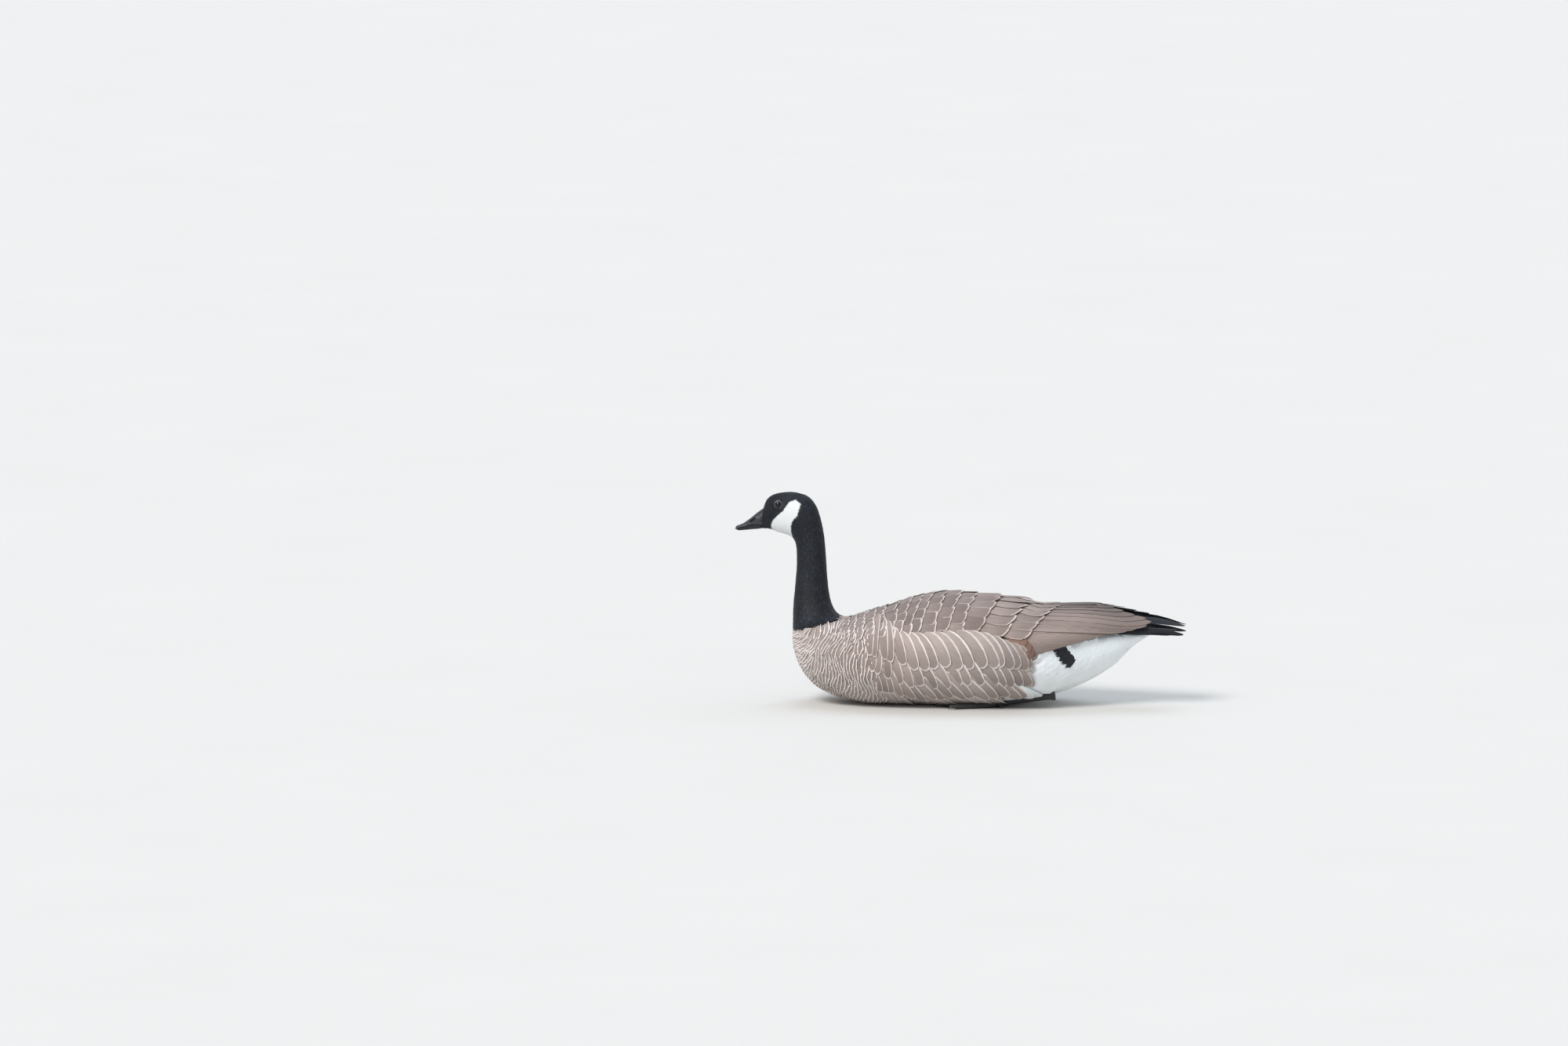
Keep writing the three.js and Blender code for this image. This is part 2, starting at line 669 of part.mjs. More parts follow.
function footSolid(grow = 0) {
  const toes = TOES.map((toe) => {
    const points = TOE_STATIONS.map((share) => toePoint(toe, share));
    const tip = toePoint(toe, 1 + CLAW.length / toe.length).setZ(CLAW.height);
    const radii = TOE_TAPER.map((share) => share * toe.radius);
    return limb([...points, tip], [...radii, CLAW.radius], 6, grow);
  });
  const joint = new THREE.Vector3(TOE_JOINT.x, -TOE_JOINT.y, TOE_JOINT.z);
  const hindTip = joint.clone().add(new THREE.Vector3(HIND_TOE.back, HIND_TOE.out, 0)).setZ(HIND_TOE.height);
  const hindPoints = HIND_TOE.stations.map((t) => joint.clone().lerp(hindTip, t));
  const hind = limb(hindPoints, HIND_TOE.radii, 6, grow);
  const web = new THREE.Shape();
  web.moveTo(TOE_JOINT.x, -TOE_JOINT.y);
  const tips = TOES.map((toe) => toePoint(toe, WEB.tip));
  web.lineTo(tips[0].x, tips[0].y);
  for (let i = 0; i + 1 < tips.length; i++) {
    const hollow = tips[i].clone().lerp(tips[i + 1], 0.5);
    const root = new THREE.Vector3(TOE_JOINT.x, -TOE_JOINT.y, 0);
    hollow.lerpVectors(root, hollow, WEB.scallop);
    web.quadraticCurveTo(hollow.x, hollow.y, tips[i + 1].x, tips[i + 1].y);
  }
  const low = grow ? WEB.under : WEB.low;
  const depth = WEB.high + grow - low;
  const skin = new THREE.ExtrudeGeometry(web, { depth, bevelEnabled: false, curveSegments: 5 });
  skin.translate(0, 0, low);
  return join([...toes, hind, solid(skin)]);
}

const FLOOR = block([-FAR, -FAR, -FAR], [FAR, FAR, 0]);

function meshOf(body, name, colour, roughness = 0.8) {
  const { numProp, vertProperties, triVerts } = body.getMesh();
  const positions = new Float32Array((vertProperties.length / numProp) * 3);
  for (let i = 0; i < vertProperties.length / numProp; i++) {
    positions.set(vertProperties.subarray(i * numProp, i * numProp + 3), i * 3);
  }
  const geometry = new THREE.BufferGeometry();
  geometry.setAttribute("position", new THREE.BufferAttribute(positions, 3));
  geometry.setIndex(new THREE.BufferAttribute(triVerts, 1));
  geometry.computeVertexNormals();
  const material = new THREE.MeshStandardMaterial({ color: colour, roughness, metalness: 0 });
  const mesh = new THREE.Mesh(geometry, material);
  mesh.name = name;
  return mesh;
}

const goose = new THREE.Group();
goose.name = "canada_goose";

const body = innerBody();
const headNeck = headNeckSolid();
const neckZone = blockAbove(BREAST_CUT, -GAP).intersect(block([-FAR, -FAR, 0], [NECK_BACK, FAR, FAR]));
const wingLeft = wingSolid(innerBody(GAP));
const wingPocket = wingSpace(GAP).subtract(body);
const leg = shankSolid();
const foot = footSolid().subtract(shankSolid(GAP)).subtract(FLOOR);
const tucked = shankSolid(GAP).add(footSolid(GAP));
const rump = block([TAIL_CUT, -FAR, -FAR], [FAR, FAR, FAR]);
const rumpCut = block([TAIL_CUT - GAP, -FAR, -FAR], [FAR, FAR, FAR]);
const torso = largestPiece(
  join([outerBody(), headNeck])
    .subtract(neckZone)
    .subtract(join([wingPocket, mirrored(wingPocket)]))
    .subtract(join([rumpCut, tucked, mirrored(tucked)]))
    .subtract(FLOOR),
);
const neck = headNeck
  .intersect(blockAbove(BREAST_CUT))
  .subtract(block([NECK_BACK - GAP, -FAR, 0], [0, FAR, FAR]))
  .subtract(blockAbove(HEAD_CUT))
  .subtract(block([-FAR, -FAR, 0], [NECK_FRONT, FAR, FAR]));
const tail = largestPiece(
  join([body.intersect(rump), ...tailFeathers()]).subtract(block([0, -FAR, 0], [TAIL_CUT, FAR, FAR])),
);
const shank = leg.subtract(FLOOR);

goose.add(meshOf(torso, "torso", COLOURS.plumage));
goose.add(meshOf(largestPiece(neck), "neck", COLOURS.black));
goose.add(meshOf(headSolid(headNeck), "head", COLOURS.black));
goose.add(meshOf(upperBill(), "bill_upper", COLOURS.bill, 0.4));
goose.add(meshOf(billHalf(LOWER_HALF), "bill_lower", COLOURS.bill, 0.4));
goose.add(meshOf(tail, "tail", COLOURS.tail));
for (const [name, side] of [["left", -1], ["right", 1]]) {
  const turned = (piece) => (side < 0 ? piece : mirrored(piece));
  const eye = ball({ x: EYE.x, y: side * EYE.y, z: EYE.z }, [EYE.radius, EYE.radius, EYE.radius]);
  goose.add(meshOf(turned(wingLeft), `wing_${name}`, COLOURS.wing));
  goose.add(meshOf(eye, `eye_${name}`, COLOURS.eye, 0.1));
  goose.add(meshOf(turned(largestPiece(shank)), `leg_${name}`, COLOURS.foot, 0.6));
  goose.add(meshOf(turned(largestPiece(foot)), `foot_${name}`, COLOURS.foot, 0.6));
}

export default goose;
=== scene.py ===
"""Looks of a life-size Canada goose that rests on its belly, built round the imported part.

Metres, +Z up, floor at z = 0. The bill points along -X and the bird's left side faces -Y.
"""

import math

import bmesh
import bpy
import numpy as np
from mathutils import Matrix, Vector
from mathutils.bvhtree import BVHTree


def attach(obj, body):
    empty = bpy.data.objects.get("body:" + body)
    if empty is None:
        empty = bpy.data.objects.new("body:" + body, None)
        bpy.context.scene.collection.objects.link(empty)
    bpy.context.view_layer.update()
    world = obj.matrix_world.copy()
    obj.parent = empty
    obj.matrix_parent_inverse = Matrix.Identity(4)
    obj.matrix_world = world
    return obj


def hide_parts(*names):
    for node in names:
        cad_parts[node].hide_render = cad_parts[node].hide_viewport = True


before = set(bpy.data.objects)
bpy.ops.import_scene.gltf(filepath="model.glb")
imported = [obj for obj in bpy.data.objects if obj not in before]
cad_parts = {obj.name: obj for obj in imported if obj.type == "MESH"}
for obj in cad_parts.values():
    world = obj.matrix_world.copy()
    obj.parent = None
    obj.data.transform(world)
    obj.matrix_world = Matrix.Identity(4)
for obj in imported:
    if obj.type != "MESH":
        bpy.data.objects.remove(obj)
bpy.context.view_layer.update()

bl_info = {
    "name": "Canada Goose Maker",
    "version": (1, 0, 0),
    "blender": (4, 5, 0),
    "location": "View3D > Sidebar > Goose",
    "description": "Skin, feathers, bill, eyes and feet of a life-size still goose",
    "category": "Add Mesh",
}

MM = 0.001

# Body sections: station, back, keel, half width, height of the widest line (millimetres).
BODY_ROWS = [
    (-259, 100, 90, 7, 95),
    (-256, 106, 80, 21, 92),
    (-250, 110, 62, 37, 88),
    (-238, 114, 41, 54, 84),
    (-215, 119, 20, 74, 81),
    (-180, 129, 6, 93, 82),
    (-130, 142, -2, 108, 85),
    (-60, 157, -2, 115, 88),
    (20, 161, -2, 116, 88),
    (80, 153, 1, 112, 90),
    (120, 146, 8, 104, 92),
    (160, 140, 19, 88, 97),
    (200, 134, 36, 69, 103),
    (240, 126, 62, 50, 108),
    (268, 120, 90, 36, 111),
    (290, 118, 105, 25, 113),
    (302, 117, 112, 16, 114.5),
]
BODY_UPPER = 1.75
BODY_LOWER = 2.25

# Sections over the folded wings: station, back, half width, height of the widest line.
CLOAK_ROWS = [
    (-180, 130, 95, 88),
    (-151, 138, 103, 88),
    (-114, 149, 110, 88),
    (-64, 165.5, 115, 88),
    (-18, 173, 116, 88),
    (35, 170, 115.5, 88.5),
    (88, 165, 111, 90.5),
    (104, 161, 109, 91),
    (120, 156, 106, 92),
    (150, 155, 97, 96),
    (200, 154.5, 77, 103),
    (235, 151, 61, 107.5),
    (262, 147, 51, 110),
    (300, 141, 46, 113),
    (346, 128, 38, 110),
]
CLOAK_UPPER = 2.0

# Lower edge of the folded wing: station and height.
WING_EDGE_ROWS = [(96, 40), (105, 100), (121, 90), (148, 94), (192, 108), (212, 114), (262, 119)]

# Head and neck sections: step, throat x and z, crown or nape x and z, half width.
NECK_ROWS = [
    (0, -302, 267, -301, 302, 13),
    (1, -292, 264.5, -297, 311, 18.5),
    (2, -280, 259.5, -286, 318.8, 23),
    (3, -268, 256.5, -262, 322.5, 26),
    (4, -259, 252.5, -238, 318, 26),
    (5, -254.5, 247, -222, 302.5, 24.5),
    (6, -252.3, 239, -213, 276, 22.5),
    (7, -251.7, 228, -208.5, 252, 21.5),
    (8, -251.6, 212, -206, 222, 21.5),
    (9, -254, 180, -203.5, 185, 23.5),
    (10, -256.8, 148, -198, 152, 29),
    (11, -257.6, 125, -183, 132, 41),
    (12, -258.8, 101, -160, 127, 58),
    (13, -250, 64, -132, 116, 78),
]
NECK_POWER = 2.1
LAST_STEP = NECK_ROWS[-1][0]

# Bill sections: station, culmen, mouth line, lower edge, half width.
BILL_ROWS = [
    (-345.8, 267.6, 263.4, 262.6, 5.4),
    (-343.5, 268.8, 265, 262.3, 6.8),
    (-340, 270, 267, 262, 7.9),
    (-333, 273.5, 268.8, 262.5, 9),
    (-328, 277, 270.2, 262.8, 9.5),
    (-322, 281.5, 272, 263.5, 10),
    (-311, 290.5, 273, 264.5, 11.2),
    (-301.3, 297, 272.3, 266, 12.6),
    (-293, 300, 273, 266.5, 12.4),
]
BILL_BACK = BILL_ROWS[-1][0]
EYE = {"x": -278, "y": 15.6, "z": 305}

# Where the black neck meets the breast, in side view: a point, a slope in degrees, its rear end.
BIB = {"x": -258, "z": 111, "slope": 13.4, "back": -176}

# White cheek in side view, carried on under the throat.
CHEEK_OUTLINE = [
    (-251.9, 311.8), (-243.4, 306.3), (-245.5, 298.7), (-248.7, 287.9), (-255.7, 280.2),
    (-258.3, 272.7), (-258.3, 264), (-256.7, 254), (-252.5, 236), (-290, 236), (-289.5, 262),
    (-288.9, 274.6), (-284.6, 282.1), (-278.2, 288.7), (-270.7, 295.1), (-264.3, 303.8), (-261, 308.7),
]


def smoothstep(value, low, high):
    share = np.clip((np.asarray(value, float) - low) / (high - low), 0, 1)
    return share * share * (3 - 2 * share)


def curve_through(rows, scale=MM, step_scale=MM):
    """A monotone curve through each column of rows whose first column is the station."""
    table = np.array(rows, float)
    at, value = table[:, 0] * step_scale, table[:, 1:] * scale
    rise = np.diff(value, axis=0) / np.diff(at)[:, None]
    product = rise[:-1] * rise[1:]
    total = np.where(product > 0, rise[:-1] + rise[1:], 1)
    inner = np.where(product > 0, 2 * product / total, 0)
    tangent = np.vstack([rise[:1], inner, rise[-1:]])

    def evaluate(station):
        station = np.asarray(station, float)
        i = np.clip(np.searchsorted(at, station, side="right") - 1, 0, len(at) - 2)
        span = at[i + 1] - at[i]
        t = np.clip((station - at[i]) / span, 0, 1)[..., None]
        span = span[..., None]
        start = value[i] * (1 + 2 * t) * (1 - t) ** 2 + value[i + 1] * t * t * (3 - 2 * t)
        return start + span * (tangent[i] * t * (1 - t) ** 2 + tangent[i + 1] * t * t * (t - 1))

    return evaluate


def by(table, scale=MM):
    """Straight lines through (key, value) pairs, whose values are millimetres unless a scale is given."""
    keys, values = np.array(table, float).T
    return lambda at: np.interp(at, keys, values) * scale


body_at = curve_through(BODY_ROWS)
cloak_at = curve_through(CLOAK_ROWS)
neck_at = curve_through(NECK_ROWS, step_scale=1)
wing_edge_at = curve_through(WING_EDGE_ROWS)
bill_at = curve_through(BILL_ROWS)


def section(x, top, bottom, half, wide, upper, lower, turn):
    """Points of rounded sections across the body, turned from the top round by +Y."""
    up, out = np.cos(turn), np.sin(turn)
    power = 2 / np.where(up > 0, upper, lower)
    reach = np.where(up > 0, top - wide, wide - bottom)
    y = half * np.sign(out) * np.abs(out) ** power
    z = wide + reach * np.sign(up) * np.abs(up) ** power
    return np.stack(np.broadcast_arrays(x, y, z), axis=-1)


def body_point(x, turn):
    top, bottom, half, wide = np.moveaxis(body_at(x), -1, 0)
    return section(x, top, bottom, half, wide, BODY_UPPER, BODY_LOWER, turn)


def cloak_point(x, drop, inset):
    """The surface over the folded wings by station and angle from the back."""
    top, half, wide = np.moveaxis(cloak_at(x), -1, 0)
    bottom = wide - (top - wide)
    return section(x, top - inset, bottom, half - inset, wide, CLOAK_UPPER, CLOAK_UPPER, drop)


def neck_point(step, turn):
    throat_x, throat_z, crown_x, crown_z, half = np.moveaxis(neck_at(step), -1, 0)
    up, out = np.cos(turn), np.sin(turn)
    up = np.sign(up) * np.abs(up) ** (2 / NECK_POWER)
    out = np.sign(out) * np.abs(out) ** (2 / NECK_POWER)
    x = (throat_x + crown_x) / 2 + up * (crown_x - throat_x) / 2
    z = (throat_z + crown_z) / 2 + up * (crown_z - throat_z) / 2
    return np.stack(np.broadcast_arrays(x, out * half, z), axis=-1)


# Sizes and colours


def srgb(text):
    """Linear colour of a #rrggbb text, with alpha 1."""
    parts = [int(text[i : i + 2], 16) / 255 for i in (1, 3, 5)]
    return [p / 12.92 if p <= 0.04045 else ((p + 0.055) / 1.055) ** 2.4 for p in parts] + [1.0]


def colour(name, text, description):
    return bpy.props.FloatVectorProperty(
        name=name, description=description, subtype="COLOR", size=4, min=0, max=1, default=srgb(text)
    )


def length(name, millimetres, description):
    return bpy.props.FloatProperty(
        name=name,
        description=description,
        subtype="DISTANCE",
        unit="LENGTH",
        min=0,
        default=millimetres * MM,
    )


class PlumageSettings(bpy.types.PropertyGroup):
    # The neck's black has a slight blue tint that is a painted sky reflection.
    neck_black: colour("Neck", "#141922", "Velvet black of the head and neck")
    cheek_white: colour("Cheek", "#e6e9e9", "White cheek patch")
    breast_pale: colour("Breast", "#b6aaa5", "Feather centres at the front of the breast")
    side_brown: colour("Side", "#9d8d87", "Feather centres at the side of the breast")
    flank_brown: colour("Flank", "#a39690", "Feather centres on the flanks")
    mantle_brown: colour("Mantle", "#887974", "Feather centres on the back and scapulars")
    wing_brown: colour("Wing", "#92837d", "Coverts, tertials and secondaries")
    fringe_pale: colour("Pale fringe", "#dcd4d0", "Fringes on breast and flanks")
    fringe_buff: colour("Buff fringe", "#cabbb2", "Fringes on back and wings")
    vent_white: colour("Vent", "#e8eef1", "White vent and tail coverts")
    rufous: colour("Rufous", "#876b5f", "Last feathers of the flank")
    quill_black: colour("Quills", "#1b1e24", "Primaries, tail and rump")
    skin_depth: length("Coat depth", 3.0, "Depth of the body coat over the skin")
    head_depth: length("Head coat depth", 0.9, "Depth of the coat on head and neck")


class BillSettings(bpy.types.PropertyGroup):
    horn: colour("Horn", "#24272e", "Black horn of the bill")
    edge: colour("Worn edge", "#4a4c52", "Worn cutting edge and nail")


class EyeSettings(bpy.types.PropertyGroup):
    radius: length("Radius", 7.2, "Radius of the eyeball")
    iris: colour("Iris", "#1c110c", "Dark brown iris")
    lid: colour("Lid", "#7c7c80", "Thin pale lid round the eye")


class FootSettings(bpy.types.PropertyGroup):
    web: colour("Web", "#25262a", "Black skin of legs, toes and webs")
    claw: colour("Claw", "#3a3836", "Horn of the claws")


class StageSettings(bpy.types.PropertyGroup):
    azimuth: bpy.props.FloatProperty(
        name="Azimuth", description="Camera's turn round the bird", unit="ROTATION", default=math.radians(5.5)
    )
    elevation: bpy.props.FloatProperty(
        name="Elevation", description="Camera's height angle", unit="ROTATION", default=math.radians(7.0)
    )
    distance: bpy.props.FloatProperty(
        name="Distance", description="Camera to bird", unit="LENGTH", default=20.0
    )
    lens: bpy.props.FloatProperty(name="Lens", description="Focal length in millimetres", default=300.0)
    floor: colour("Floor", "#d3d1cd", "Pale floor")


# Shader helpers


class Field:
    """A number that varies over a surface: arithmetic on it adds Math nodes."""

    def __init__(self, finish, socket):
        self.finish, self.socket = finish, socket

    def math(self, operation, *others):
        node = self.finish.node("Math", {"operation": operation}, dict(enumerate([self, *others])))
        return Field(self.finish, node.outputs[0])

    def reflected(self, operation, other):
        node = self.finish.node("Math", {"operation": operation}, {0: other, 1: self})
        return Field(self.finish, node.outputs[0])

    def __add__(self, other):
        return self.math("ADD", other)

    def __sub__(self, other):
        return self.math("SUBTRACT", other)

    def __mul__(self, other):
        return self.math("MULTIPLY", other)

    def __truediv__(self, other):
        return self.math("DIVIDE", other)

    def __pow__(self, other):
        return self.math("POWER", other)

    def __abs__(self):
        return self.math("ABSOLUTE")

    def __rsub__(self, other):
        return self.reflected("SUBTRACT", other)

    __radd__ = __add__
    __rmul__ = __mul__

    def over(self, low, high, start=0.0, end=1.0):
        """A smooth step from start to end as the number goes from low to high."""
        settings = {"interpolation_type": "SMOOTHSTEP"}
        sockets = {"Value": self, "From Min": low, "From Max": high, "To Min": start, "To Max": end}
        return Field(self.finish, self.finish.node("MapRange", settings, sockets).outputs[0])


class Finish:
    """A node material that is built from expressions."""

    def __init__(self, name, **constants):
        self.material = bpy.data.materials.new(name)
        self.material.use_nodes = True
        self.tree = self.material.node_tree
        self.tree.nodes.clear()
        self.surface = self.node("BsdfPrincipled")
        self.set(**constants)
        self.tree.links.new(self.surface.outputs[0], self.node("OutputMaterial").inputs[0])

    def node(self, kind, settings=None, sockets=None):
        """A node of a kind, with its settings set before its sockets."""
        node = self.tree.nodes.new("ShaderNode" + kind)
        for name, value in (settings or {}).items():
            setattr(node, name, value)
        for name, value in (sockets or {}).items():
            self.feed(node.inputs[name], value)
        return node

    def feed(self, socket, value):
        if isinstance(value, Field):
            value = value.socket
        if isinstance(value, bpy.types.NodeSocket):
            self.tree.links.new(value, socket)
        else:
            socket.default_value = value

    def set(self, **sockets):
        """Values or links for the shader's sockets, with _ for each space in a name."""
        for name, value in sockets.items():
            self.feed(self.surface.inputs[name.replace("_", " ")], value)

    def attribute(self, name, output="Fac"):
        socket = self.node("Attribute", {"attribute_name": name}).outputs[output]
        return Field(self, socket) if output == "Fac" else socket

    def vane(self):
        """Shares across and along a vane."""
        uv = self.node("UVMap", {"uv_map": "Vane"}).outputs[0]
        parts = self.node("SeparateXYZ", None, {0: uv}).outputs
        return Field(self, parts[0]), Field(self, parts[1])

    def place(self):
        return self.node("TexCoord").outputs["Object"]

    def vector(self, x, y, z):
        return self.node("CombineXYZ", None, {0: x, 1: y, 2: z}).outputs[0]

    def scaled(self, vector, factors):
        settings = {"operation": "MULTIPLY"}
        return self.node("VectorMath", settings, {0: vector, 1: factors}).outputs[0]

    def noise(self, vector, scale=1.0, detail=2.0, roughness=0.5):
        sockets = {"Vector": vector, "Scale": scale, "Detail": detail, "Roughness": roughness}
        return Field(self, self.node("TexNoise", None, sockets).outputs[0])

    def cells(self, vector, scale):
        """Distance from the edges of irregular cells."""
        sockets = {"Vector": vector, "Scale": scale}
        node = self.node("TexVoronoi", {"feature": "DISTANCE_TO_EDGE"}, sockets)
        return Field(self, node.outputs["Distance"])

    def mix(self, share, first, second):
        """A colour between two colours."""
        settings = {"data_type": "RGBA", "clamp_factor": True}
        return self.node("Mix", settings, {0: share, 6: first, 7: second}).outputs[2]

    def shade(self, tint, factor):
        """A colour made darker or lighter by a number."""
        return self.node("VectorMath", {"operation": "SCALE"}, {0: tint, "Scale": factor}).outputs[0]

    def bump(self, height, distance, strength):
        sockets = {"Height": height, "Distance": distance, "Strength": strength}
        self.feed(self.surface.inputs["Normal"], self.node("Bump", None, sockets).outputs[0])


# Mesh helpers


def object_from(mesh, name):
    made = bpy.data.objects.new(name, mesh)
    bpy.context.scene.collection.objects.link(made)
    return made


def finished(name, mesh, material, slot, *nodes):
    """A piece of the bird with its material and the nodes it replaces; slot, the slot it stands for, is not
    used.
    """
    piece = object_from(mesh, name)
    mesh.materials.clear()
    mesh.materials.append(material)
    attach(piece, "root")
    if nodes:
        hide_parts(*nodes)


def bent_grid(columns, rows, place, close_ends=True):
    """A grid bent by place, which gives points for arrays of shares round and along it."""
    grid = bmesh.new()
    bmesh.ops.create_grid(grid, x_segments=columns, y_segments=rows, size=0.5)
    shares = np.array([vert.co[:2] for vert in grid.verts]) + 0.5
    for vert, spot in zip(grid.verts, place(shares[:, 0], shares[:, 1])):
        vert.co = spot
    bmesh.ops.remove_doubles(grid, verts=grid.verts, dist=1e-6)
    if close_ends:
        rims = [edge for edge in grid.edges if edge.is_boundary]
        bmesh.ops.holes_fill(grid, edges=rims, sides=0)
    bmesh.ops.recalc_face_normals(grid, faces=grid.faces)
    return grid


def mesh_from(parts, name):
    """One smooth mesh from several bmeshes, which are freed."""
    whole = bmesh.new()
    for part in parts:
        scrap = bpy.data.meshes.new("scrap")
        part.to_mesh(scrap)
        part.free()
        whole.from_mesh(scrap)
        bpy.data.meshes.remove(scrap)
    for face in whole.faces:
        face.smooth = True
    mesh = bpy.data.meshes.new(name)
    whole.to_mesh(mesh)
    whole.free()
    return mesh


def places_of(mesh, kind="co"):
    values = np.empty(len(mesh.vertices) * 3)
    mesh.vertices.foreach_get(kind, values)
    return values.reshape(-1, 3)


def move_to(mesh, places):
    mesh.vertices.foreach_set("co", places.ravel())
    mesh.update()


def fused(parts, cell, passes, name):
    """Closed parts fused into one even, smooth mesh."""
    rough = object_from(mesh_from(parts, "rough"), "rough")
    remesh = rough.modifiers.new("Fuse", "REMESH")
    remesh.mode, remesh.voxel_size = "VOXEL", cell
    smooth = rough.modifiers.new("Smooth", "SMOOTH")
    smooth.factor, smooth.iterations = 0.5, passes
    evaluated = rough.evaluated_get(bpy.context.evaluated_depsgraph_get())
    mesh = bpy.data.meshes.new_from_object(evaluated)
    mesh.name = name
    old = rough.data
    bpy.data.objects.remove(rough)
    bpy.data.meshes.remove(old)
    return mesh


def surface_tree(*meshes):
    """A search tree over the faces of one or more meshes."""
    corners, faces = [], []
    for mesh in meshes:
        faces += [tuple(corner + len(corners) for corner in face.vertices) for face in mesh.polygons]
        corners += [tuple(place) for place in places_of(mesh)]
    return BVHTree.FromPolygons(corners, faces)


def drape(tree, places):
    """Nearest spots and normals on a surface for an array of places."""
    spots, normals = np.empty_like(places), np.empty_like(places)
    for i, place in enumerate(places):
        spots[i], normals[i] = tree.find_nearest(Vector(place))[:2]
    return spots, normals


def unit(vectors):
    return vectors / np.maximum(np.linalg.norm(vectors, axis=-1, keepdims=True), 1e-12)


# Feathers


class VaneForm:
    """A vane in shares: a closed thin sheet with columns across, an outline and a bow of its end.

    The outline's rows are the share along the vane and the half width there.
    """

    def __init__(self, columns, outline, bow):
        rows = len(outline) - 1
        sheet = bmesh.new()
        bmesh.ops.create_grid(sheet, x_segments=len(columns) - 1, y_segments=rows, size=0.5)
        geometry = sheet.verts[:] + sheet.edges[:] + sheet.faces[:]
        double = bmesh.ops.duplicate(sheet, geom=geometry)["geom"]
        bmesh.ops.reverse_faces(sheet, faces=[g for g in double if isinstance(g, bmesh.types.BMFace)])
        for vert in (g for g in double if isinstance(g, bmesh.types.BMVert)):
            if not vert.is_boundary:
                vert.co.z = -1
        bmesh.ops.remove_doubles(sheet, verts=sheet.verts, dist=1e-4)
        sheet.verts.ensure_lookup_table()
        cells = np.array([vert.co[:] for vert in sheet.verts])
        column = np.rint((cells[:, 0] + 0.5) * (len(columns) - 1)).astype(int)
        row = np.rint((cells[:, 1] + 0.5) * rows).astype(int)
        table = np.array(outline)
        self.across = np.array(columns)[column]
        self.along = table[row, 0]
        self.width = table[row, 1]
        self.reach = self.along * (1 - bow * (self.across * self.width) ** 2)
        self.under = (cells[:, 2] < -0.5).astype(float)
        self.faces = [[vert.index for vert in face.verts] for face in sheet.faces]
        sheet.free()


BODY_VANE = (
    [-1, -0.5, 0, 0.5, 1],
    [(0, 0.45), (0.3, 0.85), (0.6, 1), (0.8, 0.95), (0.93, 0.75), (1, 0.4)],
    0.15,
)
FLANK_VANE = (
    [-1, -0.7, -0.4, -0.13, 0.13, 0.4, 0.7, 1],
    [(0, 0.4), (0.25, 0.8), (0.5, 1), (0.7, 1), (0.84, 0.93), (0.93, 0.8), (1, 0.55)],
    0.26,
)
BREAST_VANE = (
    [-1, -0.66, -0.33, 0, 0.33, 0.66, 1],
    [(0, 0.5), (0.35, 0.85), (0.65, 1), (0.86, 1), (0.95, 0.96), (1, 0.86)],
    0.03,
)
LOOP_VANE = (
    [-1, -0.88, -0.6, -0.3, 0, 0.3, 0.6, 0.88, 1],
    [
        (0, 0.3), (0.08, 0.6), (0.18, 0.82), (0.32, 0.96), (0.5, 1),
        (0.66, 0.97), (0.8, 0.86), (0.9, 0.68), (0.96, 0.5), (1, 0.25),
    ],
    0.08,
)
SMALL_VANE = ([-1, 0, 1], [(0, 0.6), (0.45, 1), (0.78, 0.75), (1, 0.12)], 0.0)
SQUARE_VANE = (
    [-1, -0.6, -0.2, 0.2, 0.6, 1],
    [(0, 0.4), (0.3, 0.8), (0.6, 1), (0.82, 1), (0.92, 0.96), (0.97, 0.88), (1, 0.74)],
    0.04,
)
QUILL_VANE = (
    [-1, -0.7, -0.35, -0.06, 0, 0.06, 0.35, 0.7, 1],
    [
        (0, 0.35), (0.12, 0.7), (0.25, 0.92), (0.4, 1), (0.55, 1), (0.68, 0.98),
        (0.8, 0.9), (0.88, 0.76), (0.94, 0.56), (0.98, 0.34), (1, 0.12),
    ],
    0.0,
)


# The unwrap of the skin: side of a feather's patch in it, height of the body's axis, station where the body
# starts and its length, height where the neck starts and its length, station of the neck's middle and how
# far the head's middle lies ahead of it.
PATCH = 0.003
BODY_AXIS = 0.09
BODY_FRONT, BODY_REACH = -0.26, 0.61
NECK_FOOT, NECK_REACH = 0.1, 0.23
NECK_MIDDLE = -0.232
HEAD_AHEAD = 0.03


def unwrap(spots, neck):
    """Place of each spot on an unwrap of the skin: the body by station and turn, the neck beside it."""
    x, y, z = spots.T
    turn = np.arctan2(y, z - BODY_AXIS) / (2 * math.pi) + 0.5
    along = (x - BODY_FRONT) / BODY_REACH
    body = np.stack([0.02 + 0.6 * np.clip(along, 0, 1), 0.02 + 0.96 * turn], axis=1)
    middle = NECK_MIDDLE - HEAD_AHEAD * smoothstep(z, 0.24, 0.29)
    round_neck = np.arctan2(y, x - middle) / (2 * math.pi) + 0.5
    high = (z - NECK_FOOT) / NECK_REACH + 0.15 * (x + NECK_REACH) * smoothstep(z, 0.25, 0.3)
    head = np.stack([0.66 + 0.32 * round_neck, 0.04 + 0.9 * np.clip(high, 0, 1)], axis=1)
    return np.where(neck[:, None], head, body)


# Height that feathers keep over the floor, half width of the raised shaft, and the tone below which a
# feather counts as dark.
FLOOR_GAP = 0.3 * MM
SHAFT_SHARE = 0.08
DARK_TONE = 0.1


def as_column(value, count):
    """A number or one number a feather, as a column."""
    return np.broadcast_to(np.asarray(value, float), (count,))[:, None]


